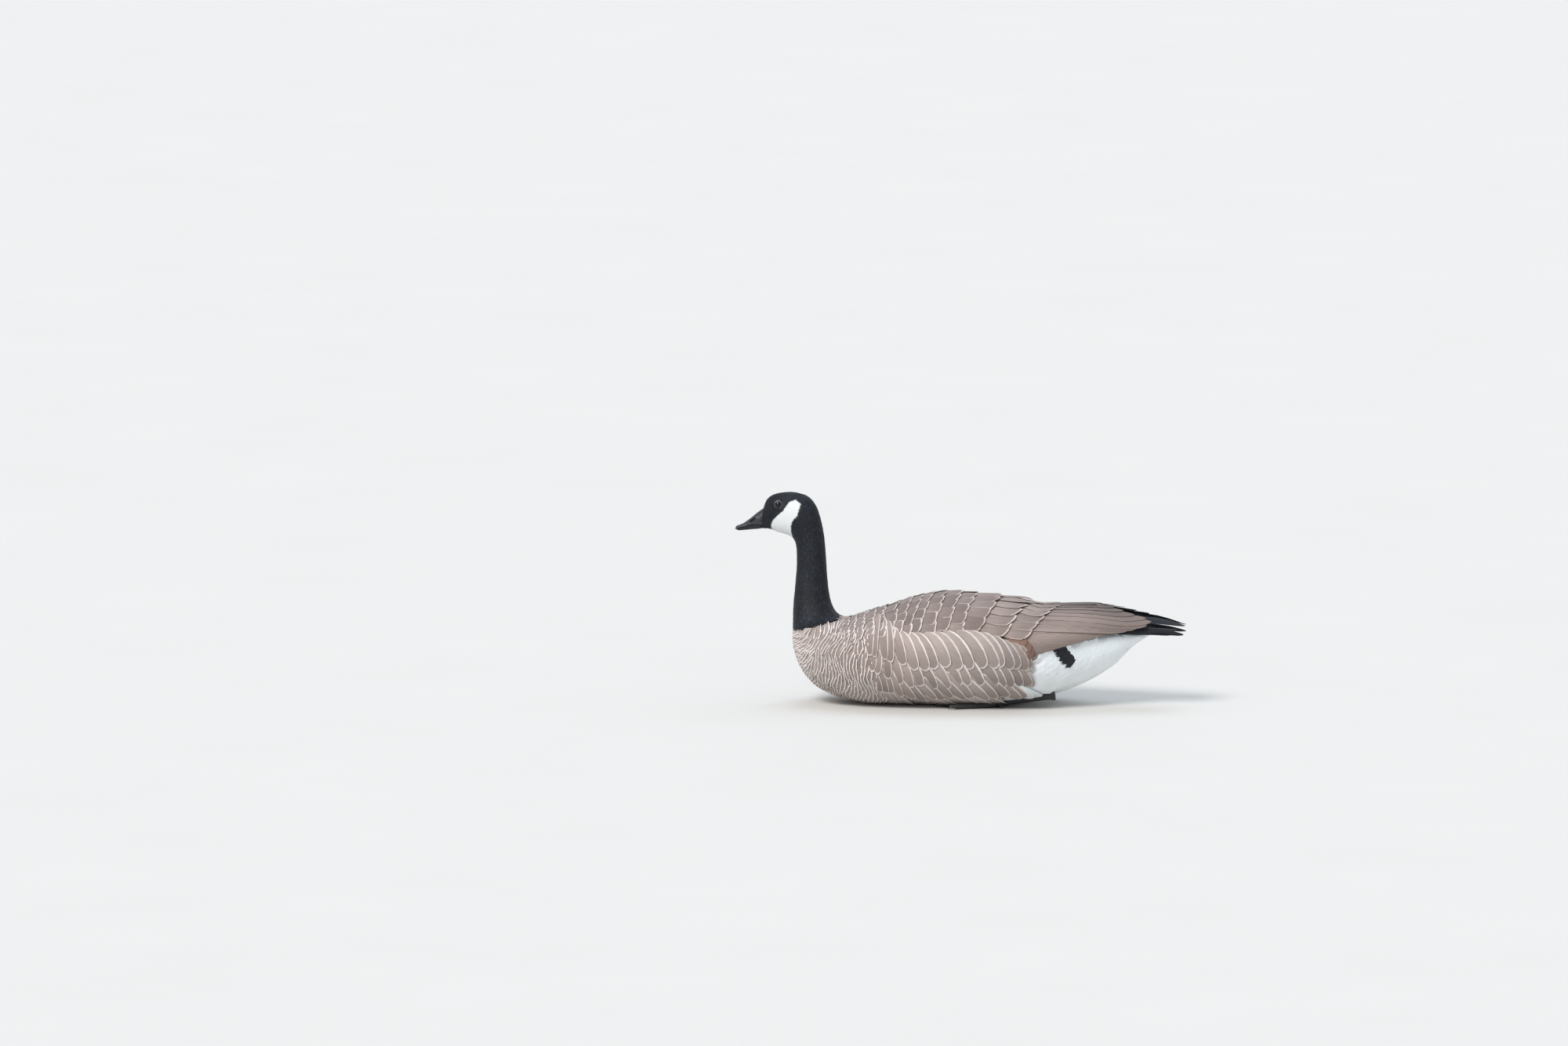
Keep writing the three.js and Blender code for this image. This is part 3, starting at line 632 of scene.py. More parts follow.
def lay_vanes(
    shape, tree, root, tip, half, random, *, lift, ease=1.0, camber=0.12, roll=0.0, sway=0.0, skew=0.0,
    ridge=0.0, thickness=0.25 * MM, jitter=0.12 * MM, ragged=0.03,
):
    """Places of every vane's points, and the spots under them on the surface.

    lift is a pair of heights at root and tip, and ease bends the rise between them. camber lowers the
    sides, roll lifts one side, sway curves the vane and skew slants its end.
    """
    count, size = len(root), len(shape.across)
    half = as_column(half, count)
    wide = shape.across * shape.width
    reach = np.linalg.norm(tip - root, axis=1)[:, None]
    normal = drape(tree, (root + tip) / 2)[1]
    side = unit(np.cross(normal, unit(tip - root)))
    across = wide * half * random.normal(1, ragged, (count, size))
    across = across + as_column(sway, count) * shape.along**2 * reach
    slant = as_column(skew, count) * wide * shape.along**2 * half / reach
    along = shape.reach * random.normal(1, ragged / 2, (count, size)) + slant
    flat = root[:, None] + (tip - root)[:, None] * along[..., None] + side[:, None] * across[..., None]
    spots, normals = drape(tree, flat.reshape(-1, 3))
    low, high = (as_column(value, count) for value in lift)
    height = low + (high - low) * shape.along**ease
    height = height + random.normal(0, 1, (count, 1)) * as_column(jitter, count) * shape.along
    height = height - as_column(camber, count) * half * wide**2
    height = height + as_column(roll, count) * wide * half
    height = height + ridge * np.exp(-((shape.across / SHAFT_SHARE) ** 2)) * (1 - shape.along)
    height = height - thickness * shape.under
    places = spots + normals * height.reshape(-1, 1)
    places[:, 2] = np.maximum(places[:, 2], FLOOR_GAP)
    return places, spots


def vane_mesh(name, shape, places, count):
    """One mesh of many vanes of a shape, with the shares across and along each as the map Vane."""
    corners = np.array([index for face in shape.faces for index in face])
    sizes = np.array([len(face) for face in shape.faces])
    mesh = bpy.data.meshes.new(name)
    mesh.vertices.add(len(places))
    mesh.vertices.foreach_set("co", places.astype(np.float32).ravel())
    loops = (corners[None] + np.arange(count)[:, None] * len(shape.across)).ravel()
    mesh.loops.add(len(loops))
    mesh.loops.foreach_set("vertex_index", loops.astype(np.int32))
    starts = np.concatenate([[0], np.cumsum(np.tile(sizes, count))[:-1]])
    mesh.polygons.add(len(starts))
    mesh.polygons.foreach_set("loop_start", starts.astype(np.int32))
    mesh.polygons.foreach_set("use_smooth", np.ones(len(starts), bool))
    mesh.update(calc_edges=True)
    shares = np.stack([shape.across[corners] * 0.5 + 0.5, shape.along[corners]], axis=1)
    uv_layer(mesh, "Vane", np.tile(shares, (count, 1)))
    return mesh, shares


def uv_layer(mesh, name, places):
    layer = mesh.uv_layers.new(name=name)
    layer.data.foreach_set("uv", places.astype(np.float32).ravel())


def colour_layer(mesh, name, tints):
    layer = mesh.color_attributes.new(name, "FLOAT_COLOR", "POINT")
    layer.data.foreach_set("color", np.hstack([tints, np.ones((len(tints), 1))]).astype(np.float32).ravel())


def float_layer(mesh, name, values):
    layer = mesh.attributes.new(name, "FLOAT", "POINT")
    layer.data.foreach_set("value", np.asarray(values, np.float32))


def feathers(
    name, form, tree, root, tip, half, random, *, centre=0, fringe=0, paint=None, band=0.9, rim=0.0,
    neck=False, **lay,
):
    """One mesh of closed vanes laid on a surface from root to tip, with their colours and maps.

    centre and fringe are colours, or paint gives both for any places. band is the share where the fringe
    starts, rim how fully it runs up the sides. The other names are those of lay_vanes.
    """
    shape = VaneForm(*form)
    count, size = len(root), len(shape.across)
    places, spots = lay_vanes(shape, tree, root, tip, half, random, **lay)
    mesh, shares = vane_mesh(name, shape, places, count)
    patches = unwrap(root, np.broadcast_to(neck, (count,)))[:, None] + PATCH * (shares - 0.5)[None]
    uv_layer(mesh, "OFBake", patches)
    if paint:
        centre, fringe = paint(spots)
    else:
        centre, fringe = (
            np.repeat(np.broadcast_to(tint, (count, 3)), size, axis=0) for tint in (centre, fringe)
        )
    colour_layer(mesh, "plumage", centre)
    colour_layer(mesh, "fringe", fringe)
    for label, value in (("tone", random.random(count)), ("band", band), ("rim", rim)):
        float_layer(mesh, label, np.repeat(np.broadcast_to(value, (count,)), size))
    float_layer(mesh, "dark", np.mean(centre, axis=1) < DARK_TONE)
    mesh.set_sharp_from_angle(angle=math.radians(70))
    return mesh


def rows_of_roots(
    place, start, end, exposure, spacing, random, turns=(0, 2 * math.pi), wobble=0.18, wave=0.0
):
    """Roots in staggered rows on a surface given by step and turn.

    exposure and spacing are functions of the step that give the distance between rows and within one.
    wave ripples the rows. The third result is the direction of the row at each root.
    """
    fine = np.linspace(start, end, 600)
    line = place(fine, np.full_like(fine, math.pi / 2))
    run = np.concatenate([[0], np.cumsum(np.linalg.norm(np.diff(line, axis=0), axis=1))])
    steps, all_turns, along_row = [], [], []
    at, row, close = 0.0, 0, 0.01
    while at < run[-1]:
        step = np.interp(at, run, fine)
        around = np.linspace(*turns, 240)
        ring = place(np.full_like(around, step), around)
        length_round = np.concatenate([[0], np.cumsum(np.linalg.norm(np.diff(ring, axis=0), axis=1))])
        count = max(3, round(length_round[-1] / spacing(step)))
        marks = np.arange(count) + 0.5 * (row % 2) + random.normal(0, wobble, count)
        marks = marks / count * length_round[-1]
        turn = np.interp(marks % length_round[-1], length_round, around)

        def on_row(turn, shift=0.0):
            ripple = wave * (np.sin(7 * turn + 0.35 * row) + 0.25 * np.sin(13 * turn - 0.8 * row))
            return np.interp(at + (ripple + shift) * exposure(step), run, fine)

        steps.append(on_row(turn, random.normal(0, wobble, count)))
        all_turns.append(turn)
        ahead, behind = (place(on_row(near), near) for near in (turn + close, turn - close))
        along_row.append(unit(ahead - behind))
        at += exposure(step)
        row += 1
    return [np.concatenate(found) for found in (steps, all_turns, along_row)]


# Markings


def bib_height(places):
    """Height of each place over the line where black neck meets breast."""
    line = BIB["z"] * MM + (places[:, 0] - BIB["x"] * MM) * math.tan(math.radians(BIB["slope"]))
    return places[:, 2] - line


def outline_depth(x, z, outline):
    """Distance inside a closed outline, negative outside."""
    corners = np.array(outline) * MM
    spots = np.stack([x, z], axis=1)
    nearest = np.full(len(spots), np.inf)
    inside = np.zeros(len(spots), bool)
    for a, b in zip(corners, np.roll(corners, -1, axis=0)):
        edge = b - a
        share = np.clip((spots - a) @ edge / (edge @ edge), 0, 1)
        nearest = np.minimum(nearest, np.linalg.norm(spots - a - share[:, None] * edge, axis=1))
        crosses = (a[1] > spots[:, 1]) != (b[1] > spots[:, 1])
        rise = np.where(crosses, (spots[:, 1] - a[1]) / np.where(edge[1] == 0, 1, edge[1]), 0)
        inside ^= crosses & (spots[:, 0] < a[0] + rise * edge[0])
    return np.where(inside, nearest, -nearest)


def blend(share, first, second):
    share = np.asarray(share)[:, None]
    return np.asarray(first) * (1 - share) + np.asarray(second) * share


def is_neck(places):
    return (bib_height(places) > 0) & (places[:, 0] < BIB["back"] * MM)


def plumage_tint(name):
    return np.array(getattr(bpy.context.scene.goose_plumage, name))[:3]


def neck_tint(places, ragged=0.0, soft=0.4):
    """Black of head and neck with the white cheek, by place."""
    depth = outline_depth(places[:, 0], places[:, 2], CHEEK_OUTLINE) / MM
    cheek = smoothstep(depth + ragged, -soft, soft)
    return blend(cheek, plumage_tint("neck_black")[None], plumage_tint("cheek_white")[None])


# Station where brown turns white, by height: on the skin, and where white feathers start.
WHITE_LINE = by([(0, 55), (40, 95), (76, 124), (120, 128)], scale=1)
WHITE_ROOTS = by([(0, 50), (40, 88), (76, 116), (120, 122)], scale=1)


def markings(places, ragged=0.0, soft=0.05):
    """Colours of feather centres and of their fringes at places on the skin.

    ragged shifts each place across the edges of the markings by some millimetres, and soft is the width of
    the cheek's edge.
    """
    x, y, z = (places / MM).T
    centre = blend(smoothstep(x, -262, -175), plumage_tint("breast_pale"), plumage_tint("side_brown"))
    centre = blend(smoothstep(x, -130, -20), centre, plumage_tint("flank_brown"))
    upper = smoothstep(z, 118, 135) * smoothstep(x, -200, -120)
    centre = blend(upper, centre, plumage_tint("mantle_brown"))
    fringe = np.broadcast_to(plumage_tint("fringe_pale"), centre.shape)
    fringe = blend(upper, fringe, plumage_tint("fringe_buff"))

    rusty = smoothstep(x, 92, 104) * smoothstep(x, 128, 120)
    rusty = rusty * smoothstep(z, 84, 92) * smoothstep(z, 120, 112)
    centre = blend(rusty, centre, plumage_tint("rufous"))
    fringe = blend(0.7 * rusty, fringe, plumage_tint("rufous"))
    # The rear flank below the wing's edge is made darker, its fringes more than its centres.
    rear_flank_darkening = (smoothstep(x, 20, 90) * smoothstep(z, 30, 60) * smoothstep(z, 128, 112))[:, None]
    centre, fringe = centre * (1 - 0.2 * rear_flank_darkening), fringe * (1 - 0.3 * rear_flank_darkening)
    under = smoothstep(z, 58, 20) * smoothstep(x, -240, -150)
    centre = blend(0.7 * under, centre, plumage_tint("breast_pale"))

    below_wing = z < np.where(x > 100, wing_edge_at(x * MM)[:, 0] / MM + 5, 128)
    vent = smoothstep(x + ragged, WHITE_LINE(z) - 4, WHITE_LINE(z) + 8) * below_wing
    rump = smoothstep(x, 200, 215) * smoothstep(z, 119, 124) * (np.abs(y) < 60)
    for share, name in ((vent, "vent_white"), (rump, "quill_black")):
        centre, fringe = (blend(share, tint, plumage_tint(name)) for tint in (centre, fringe))
    neck = neck_tint(places, ragged, soft)
    black = is_neck(places).astype(float)
    return blend(black, centre, neck), blend(black, fringe, neck)


# Finishes


def plumage_finish(name, roughness=0.72, streak=0.34, contrast=1.0, vary=0.24, sheen=0.12):
    """Barbed vanes with a shaft and a pale, slightly frayed fringe.

    streak is the barbs' contrast, contrast that of shaft and darker end, vary how much feathers differ.
    """
    finish = Finish(
        name, Roughness=roughness, Specular_IOR_Level=0.3, Sheen_Weight=sheen, Sheen_Roughness=0.5
    )
    across, along = finish.vane()
    side = abs(across * 2 - 1)
    tone = finish.attribute("tone")
    barb = along * 34 - side * 11
    barbs = finish.noise(finish.vector(barb, side * 1.5, tone * 60), detail=3.0, roughness=0.65)
    patch = finish.noise(finish.scaled(finish.place(), (60, 60, 60)), detail=2.0)
    edge = (along + side * side * 0.04 + barbs * 0.08 - 0.04 - finish.attribute("band")).over(-0.01, 0.045)
    faint = side.over(0.8, 1.0) * along.over(0.3, 0.8) * 0.55
    full = (side + barbs * 0.16 - 0.08 + patch * 0.1).over(0.8, 0.93)
    full = full * along.over(0.03, 0.16) * finish.attribute("rim")
    pale = 1 - (1 - edge) * (1 - faint) * (1 - full)
    dusk = along.over(0.3, 0.92) * (1 - pale) * (0.24 * contrast)
    shaft = side.over(0.0, 0.09, 1.0, 0.0) * along.over(0.97, 0.3) * (0.3 * contrast)
    light = (1 - streak / 2 + barbs * streak) * (1 - vary / 2 + tone * vary) * (0.9 + patch * 0.2)
    base = finish.shade(finish.attribute("plumage", "Color"), light * (1 - dusk) * (1 - shaft))
    fringe = finish.shade(finish.attribute("fringe", "Color"), 0.9 + barbs * 0.2)
    finish.set(Base_Color=finish.mix(pale, base, fringe))
    finish.bump(barbs * 0.7 + shaft, 0.4 * MM, 0.6)
    return finish.material


def velvet_finish(name):
    """Short soft feathers of head and neck; the dark ones vary at random in tone and carry painted glints of
    highlight.
    """
    finish = Finish(
        name, Roughness=0.62, Specular_IOR_Level=0.35, Sheen_Weight=0.12, Sheen_Roughness=0.4
    )
    across, along = finish.vane()
    tone = finish.attribute("tone")
    side = abs(across * 2 - 1)
    barbs = finish.noise(finish.vector(along * 9 - side * 3, side * 2, tone * 60), detail=2.0)
    patch = finish.noise(finish.scaled(finish.place(), (70, 70, 70)), detail=3.0)
    dark = finish.attribute("dark")
    # Random tone, plus painted glints: the brightest dark feathers are lifted well over their colour as
    # painted highlight.
    tone_and_glints = tone * 0.5 - 0.45 + tone.over(0.76, 1.0) * 1.5
    light = (1 + tone_and_glints * dark) * (1 + (barbs - 0.5) * (0.1 + dark * 0.5))
    light = light * (1 + (patch - 0.5) * dark * 1.1)
    finish.set(Base_Color=finish.shade(finish.attribute("plumage", "Color"), light))
    finish.bump(barbs, 0.25 * MM, 0.5)
    return finish.material


def skin_finish(name):
    """Down that shows between the feathers."""
    finish = Finish(name, Roughness=0.8, Specular_IOR_Level=0.2)
    place = finish.place()
    down = finish.noise(finish.scaled(place, (140, 420, 420)), detail=3.0, roughness=0.6)
    patch = finish.noise(finish.scaled(place, (45, 45, 45)), detail=2.0)
    light = (0.62 + down * 0.4) * (0.85 + patch * 0.3)
    finish.set(Base_Color=finish.shade(finish.attribute("plumage", "Color"), light))
    finish.bump(down, 0.5 * MM, 0.6)
    return finish.material


# Pieces

# Forms that the feathers are laid on: coat, cloak and face.
WORK = {}

# The fused skin: size of its cells and passes of smoothing.
SKIN_CELL = 2.4 * MM
SKIN_PASSES = 14
# How far down the form over the wings reaches: in the coat's form and in the skin.
COAT_LOW = 40 * MM
SKIN_LOW = 125 * MM
WING_START, WING_END = -180, 262
SKIN_FLOOR = 2.2 * MM
# The skin sinks by a depth round the eye, between two distances from its middle.
SOCKET = {"outer": 8, "inner": 5.5, "depth": 4}
# Half of the strip along the middle of the head that a view from the side can't tell from the eye's place.
HEAD_STRIP = 8 * MM


def skin_depth(places):
    """Depth of the coat over the skin: thin on head and neck, full on the body."""
    settings = bpy.context.scene.goose_plumage
    neck = smoothstep(bib_height(places) / MM, -14, 26) * smoothstep(places[:, 0] / MM, -150, -185)
    near_bill = 0.35 + 0.65 * smoothstep(places[:, 0] / MM, -302, -288)
    return settings.head_depth * neck * near_bill + settings.skin_depth * (1 - neck)


def eased_station(share, start, end):
    return (start + (end - start) * (1 - np.cos(math.pi * share)) / 2) * MM


def body_shell():
    return bent_grid(72, 110, lambda u, v: body_point(eased_station(v, -259, 302), u * 2 * math.pi))


def cloak_shell(low):
    """The closed form over the folded wings, cut off below at a height and at the wing's lower edge."""
    middle = [0, 0.1]
    edge_start = WING_EDGE_ROWS[0][0] * MM

    def place(u, v):
        x = eased_station(v, WING_START, WING_END)
        spots = cloak_point(x, u * 2 * math.pi, inset=0.0)
        sink = (smoothstep(x / MM, 190, WING_END) + smoothstep(x / MM, -140, -178))[:, None]
        inner = body_point(x, u * 2 * math.pi)
        inner[:, 1:] = (inner[:, 1:] - middle) * 0.97 + middle
        spots = spots * (1 - sink) + inner * sink
        edge = np.where(x > edge_start, np.minimum(wing_edge_at(x)[:, 0], SKIN_LOW), low)
        spots[:, 2] = np.maximum(spots[:, 2], np.maximum(edge, low))
        return spots

    return bent_grid(72, 90, place)


def neck_shell():
    return bent_grid(56, 120, lambda u, v: neck_point(v * LAST_STEP, u * 2 * math.pi))


# Where feathers end on the bill: height and station.
FEATHER_EDGE = by([
    (264, -304), (268, -304.4), (273, -303.4), (277, -305.8),
    (281, -306.6), (287, -305.6), (292, -303.6), (297, -301.8),
], scale=1)
LORE_BACK = -295


def lore_point(x, turn):
    """Surface round the bill's base, turned from the culmen round by +Y."""
    culmen, mouth, low, half = np.moveaxis(bill_at(np.minimum(x, BILL_BACK * MM)), -1, 0)
    swell = 1 + 0.35 * smoothstep(x / MM, -303, -283)
    up, out = np.cos(turn), np.sin(turn)
    middle = (mouth + low) / 2
    reach = np.where(up > 0, culmen + 0.3 * MM - middle, middle - low)
    y = half * swell * np.sign(out) * np.abs(out) ** 0.8
    z = middle + reach * np.sign(up) * np.abs(up) ** 0.9
    return np.stack([x, y, z], axis=-1)


def lore_shell():
    """Fills the head's front up to the bill, so that no groove runs round its base."""
    return bent_grid(48, 30, lambda u, v: lore_point((-308 + 26 * v) * MM, 2 * math.pi * u))


def thigh_shell(side):
    """The feathered thigh down to the heel."""
    points = [(120, side * 46, 42), (138, side * 47, 31), (149, side * 48, 23.5)]
    return limb(points, [14, 12, 9.5], sides=20, rows=24)


def flesh(name, low):
    """The fused form of body, folded wings, neck and head, inside the coat."""
    shells = [body_shell(), cloak_shell(low), neck_shell(), lore_shell(), thigh_shell(-1), thigh_shell(1)]
    mesh = fused(shells, SKIN_CELL, SKIN_PASSES, name)
    places, normals = places_of(mesh), places_of(mesh, "normal")
    places -= normals * skin_depth(places)[:, None]
    places[:, 2] = np.maximum(places[:, 2], SKIN_FLOOR)
    move_to(mesh, places)
    return mesh


class GOOSE_OT_skin(bpy.types.Operator):
    """One smooth skin under the coat, from the bill's base to the tail's root"""

    bl_idname = "goose.skin"
    bl_label = "Skin"

    def execute(self, context):
        mesh = flesh("plumage_skin", SKIN_LOW)
        places = places_of(mesh)
        away = from_eye(places) / MM
        sink = SOCKET["depth"] * MM * smoothstep(away, SOCKET["outer"], SOCKET["inner"])
        places[:, 1] -= np.sign(places[:, 1]) * sink * (np.abs(places[:, 1]) > HEAD_STRIP)
        move_to(mesh, places)
        colour_layer(mesh, "plumage", markings(places, soft=0.6)[0])
        nodes = ("torso", "neck", "head", "wing_left", "wing_right")
        finished("plumage_skin", mesh, skin_finish("down and skin"), "body_plumage", *nodes)
        WORK["coat"] = form_tree(flesh("coat_form", COAT_LOW))
        WORK["cloak"] = form_tree(mesh_from([bent_grid(96, 130, cloak_form)], "cloak"))
        return {"FINISHED"}


def from_eye(places):
    """Distance from the eye's middle in side view."""
    return np.hypot(places[:, 0] - EYE["x"] * MM, places[:, 2] - EYE["z"] * MM)


def form_tree(mesh):
    """A search tree of a mesh that is then removed."""
    tree = surface_tree(mesh)
    bpy.data.meshes.remove(mesh)
    return tree


# The form that the wing's feathers lie on, inside the wing's outer surface.
CLOAK_INSET = 3 * MM
CLOAK_END = CLOAK_ROWS[-1][0]


def cloak_form(u, v):
    x = (WING_START + (CLOAK_END - WING_START) * v) * MM
    return cloak_point(x, u * 2 * math.pi, inset=CLOAK_INSET)


BREAST_FALL = by([(-255, 1.6), (-215, 0.5), (-160, 0.15), (-100, 0)], scale=1)


def body_flow(places):
    """Direction in which feathers point on the body: down the breast, then back, rising on the flanks."""
    x, _, z = (places / MM).T
    fall = BREAST_FALL(x)
    rise = 0.5 * smoothstep(x, -120, -30) * smoothstep(z, 30, 85) * smoothstep(z, 150, 120)
    rise = rise + 0.35 * smoothstep(x, 120, 180) * smoothstep(z, 100, 60)
    flow = np.stack([np.ones_like(x), np.zeros_like(x), rise - fall], axis=1)
    return unit(flow)


def turned(direction, normal, angle):
    """Directions laid on the surface and turned about its normal."""
    flat = unit(direction - normal * np.sum(direction * normal, axis=1, keepdims=True))
    return flat * np.cos(angle)[:, None] + np.cross(normal, flat) * np.sin(angle)[:, None]


class Tract:
    """Roots of one tract with their spots and normals on the form they lie on."""

    def __init__(self, tree, roots, near=7 * MM):
        spots, normals = drape(tree, roots)
        self.kept = np.linalg.norm(spots - roots, axis=1) < near
        self.root, self.normal = spots[self.kept], normals[self.kept]

    def keep(self, mask, *arrays):
        self.root, self.normal = self.root[mask], self.normal[mask]
        return [array[mask] for array in arrays]


# Head and neck feathers: distance between rows and within one, by step of the neck's sections.
HEAD_EXPOSURE = by([(0, 0.8), (1, 0.9), (3, 1.2), (5, 1.4), (9, 1.8), (13, 2.6)])
HEAD_SPACING = by([(0, 1.15), (1, 1.3), (3, 1.55), (5, 1.8), (9, 2.25), (13, 3.4)])
# How far roots, middles and tips of feathers keep from the eye's middle.
EYE_CLEAR_ROOT, EYE_CLEAR_TIP = 6.7 * MM, 6.3 * MM
LORE_COUNT, BROW_COUNT = 2600, 1100


class GOOSE_OT_head_coat(bpy.types.Operator):
    """Tiny velvet feathers on head and neck, smallest on the face"""

    bl_idname = "goose.head_coat"
    bl_label = "Head and neck feathers"

    def execute(self, context):
        material = velvet_finish("velvet feathers")
        self.tract("head_feathers", 0.05, 4.4, np.random.default_rng(11), material)
        self.tract("neck_feathers", 4.4, 12.9, np.random.default_rng(12), material)
        self.lores(np.random.default_rng(13), material)
        return {"FINISHED"}

    @staticmethod
    def tract(name, start, end, random, material):
        """Feathers from one step of the neck's sections to another."""
        small = 1e-3
        step, turn, _ = rows_of_roots(neck_point, start, end, HEAD_EXPOSURE, HEAD_SPACING, random)
        tract = Tract(WORK["coat"], neck_point(step, turn))
        step, turn = step[tract.kept], turn[tract.kept]
        level = np.full_like(turn, math.pi / 2)
        run = (neck_point(step + small, turn) - neck_point(step - small, turn)) / (2 * small)
        even = (neck_point(step + small, level) - neck_point(step - small, level)) / (2 * small)
        stretch = np.clip(np.linalg.norm(run, axis=1) / np.linalg.norm(even, axis=1), 0.75, 2.4)
        share = smoothstep(step, 10.4, 12.2)[:, None]
        ahead = unit(run) * (1 - share) + body_flow(tract.root) * share
        ahead = turned(ahead, tract.normal, random.normal(0, 0.16, len(step)))
        long = HEAD_EXPOSURE(step) * (2.2 + 1.5 * stretch) * random.uniform(0.85, 1.15, len(step))
        tip = tract.root + ahead * long[:, None]
        clear = from_eye(tract.root) > EYE_CLEAR_ROOT
        clear &= from_eye(tip) > EYE_CLEAR_TIP
        clear &= from_eye((tract.root + tip) / 2) > EYE_CLEAR_TIP
        clear |= np.abs(tract.root[:, 1]) < HEAD_STRIP
        mask = clear & is_neck(tract.root) & (bib_height(tip) > -random.uniform(0, 3, len(tip)) * MM)
        step, tip = tract.keep(mask, step, tip)
        root = tract.root
        shift = np.repeat(random.normal(0, 0.35, len(root)), len(VaneForm(*SMALL_VANE).across))
        depth = skin_depth(root)
        calm = 1 - 0.6 * (neck_tint((root + tip) / 2).mean(axis=1) > 0.3)
        half = HEAD_SPACING(step) * 0.62 * random.uniform(0.8, 1.15, len(root))
        mesh = feathers(
            name, SMALL_VANE, WORK["coat"], root, tip, half, random,
            lift=(0.05 * MM, depth * 0.8 * calm**0.5 + 0.1 * MM),
            jitter=(0.05 * MM + depth * 0.09) * calm, camber=0.25, thickness=0.1 * MM, ragged=0.08,
            paint=lambda places: 2 * (neck_tint(places, shift),), neck=True,
        )
        finished(name, mesh, material, "neck_plumage", "neck", "head")

    @staticmethod
    def lores(random, material):
        """Feathers round the bill's base, up to their edge on its sides, and those of the brow over it."""
        turn = random.uniform(0, 2 * math.pi, LORE_COUNT)
        share = random.random(LORE_COUNT)
        front = FEATHER_EDGE(lore_point(np.full(LORE_COUNT, -301 * MM), turn)[:, 2] / MM)
        lore = lore_point((front + share * (LORE_BACK - front)) * MM, turn)
        turn = random.uniform(-1.35, 1.35, BROW_COUNT)
        climb = random.uniform(-0.1, 1.5, (BROW_COUNT, 1))
        foot = lore_point(np.full(BROW_COUNT, -302.5 * MM), turn)
        rise = neck_point(np.full(BROW_COUNT, 0.3), turn) - foot
        tract = Tract(WORK["face"], np.vstack([lore, foot + climb * rise]), near=4 * MM)
        flow = np.vstack([np.tile([1.0, 0, 0], (LORE_COUNT, 1)), unit(rise)])[tract.kept]
        ahead = turned(flow, tract.normal, random.normal(0, 0.15, len(flow)))
        tip = tract.root + ahead * random.uniform(2.6, 3.8, (len(flow), 1)) * MM
        centre, _ = markings(tract.root)
        mesh = feathers(
            "lore_feathers", SMALL_VANE, WORK["face"], tract.root, tip, 0.75 * MM, random,
            lift=(0.02 * MM, 0.55 * MM), jitter=0.1 * MM, thickness=0.1 * MM, ragged=0.08,
            centre=centre, fringe=centre, neck=True,
        )
        finished("lore_feathers", mesh, material, "neck_plumage", "head")


# Tracts of body feathers: their vane, the stations they span and, by station, the distance between rows, the
# distance within one and the height of the tips, then the fringe's width, the rows' wave and the turns that
# they span, where they don't go all round.
BODY_TRACTS = {
    "breast_feathers": {
        "vane": BREAST_VANE,
        "span": (-258.6, -62),
        "exposure": [(-260, 4.0), (-200, 4.8), (-150, 5.6), (-100, 7.5), (-62, 9.5)],
        "spacing": [(-260, 8.5), (-200, 12), (-150, 15), (-100, 19), (-62, 22)],
        "tip": [(-260, 2.4), (-200, 2.8), (-140, 2.4), (-110, 1.6)],
        "fringe": 1.8,
        "wave": 0.6,
    },
    "belly_feathers": {
        "vane": FLANK_VANE,
        "span": (-72, 126),
        "exposure": [(-72, 9.0), (0, 11), (124, 12)],
        "spacing": [(-72, 25), (124, 27)],
        "tip": [(-72, 2.4), (0, 2.6), (124, 2.6)],
        "fringe": 2.4,
        "wave": 0.4,
    },
    "vent_feathers": {
        "vane": BODY_VANE,
        "span": (95, 301),
        "exposure": [(95, 6), (301, 7)],
        "spacing": [(95, 11), (301, 9)],
        "tip": [(95, 0.5), (301, 0.5)],
        "fringe": 2,
        "wave": 0.5,
    },
    "rump_feathers": {
        "vane": BODY_VANE,
        "span": (196, 292),
        "exposure": [(196, 6), (292, 6)],
        "spacing": [(196, 9), (292, 7)],
        "tip": [(196, 1.2), (292, 0.8)],
        "fringe": 1.5,
        "wave": 0.2,
        "turns": (-1.1, 1.1),
    },
}
# Height that the tips of body feathers reach at most, by station, under neck and wings.
TIP_LIMIT = by([
    (-176, 144), (-160, 138), (-118, 130), (-96, 122), (40, 124),
    (80, 118), (105, 107), (121, 90), (262, 112), (290, 119),
], scale=1)
# Station of the shoulder, behind which long flank feathers cover the body's side above this height.
SHOULDER, FLANK_LOW = -122, 60
# Ranks of long flank feathers: how far each starts behind the first, and its fall under the one before.
FLANK_RANK_STARTS = (0, 5, 2, 8)
FLANK_RANK_DROP = 29
# Dark tuft of the thigh: feathers a side, first root and the way to the last, as station and height.
THIGH_COUNT = 36
THIGH_ROOT, THIGH_RUN = np.array([168, 99]), np.array([15, -20])


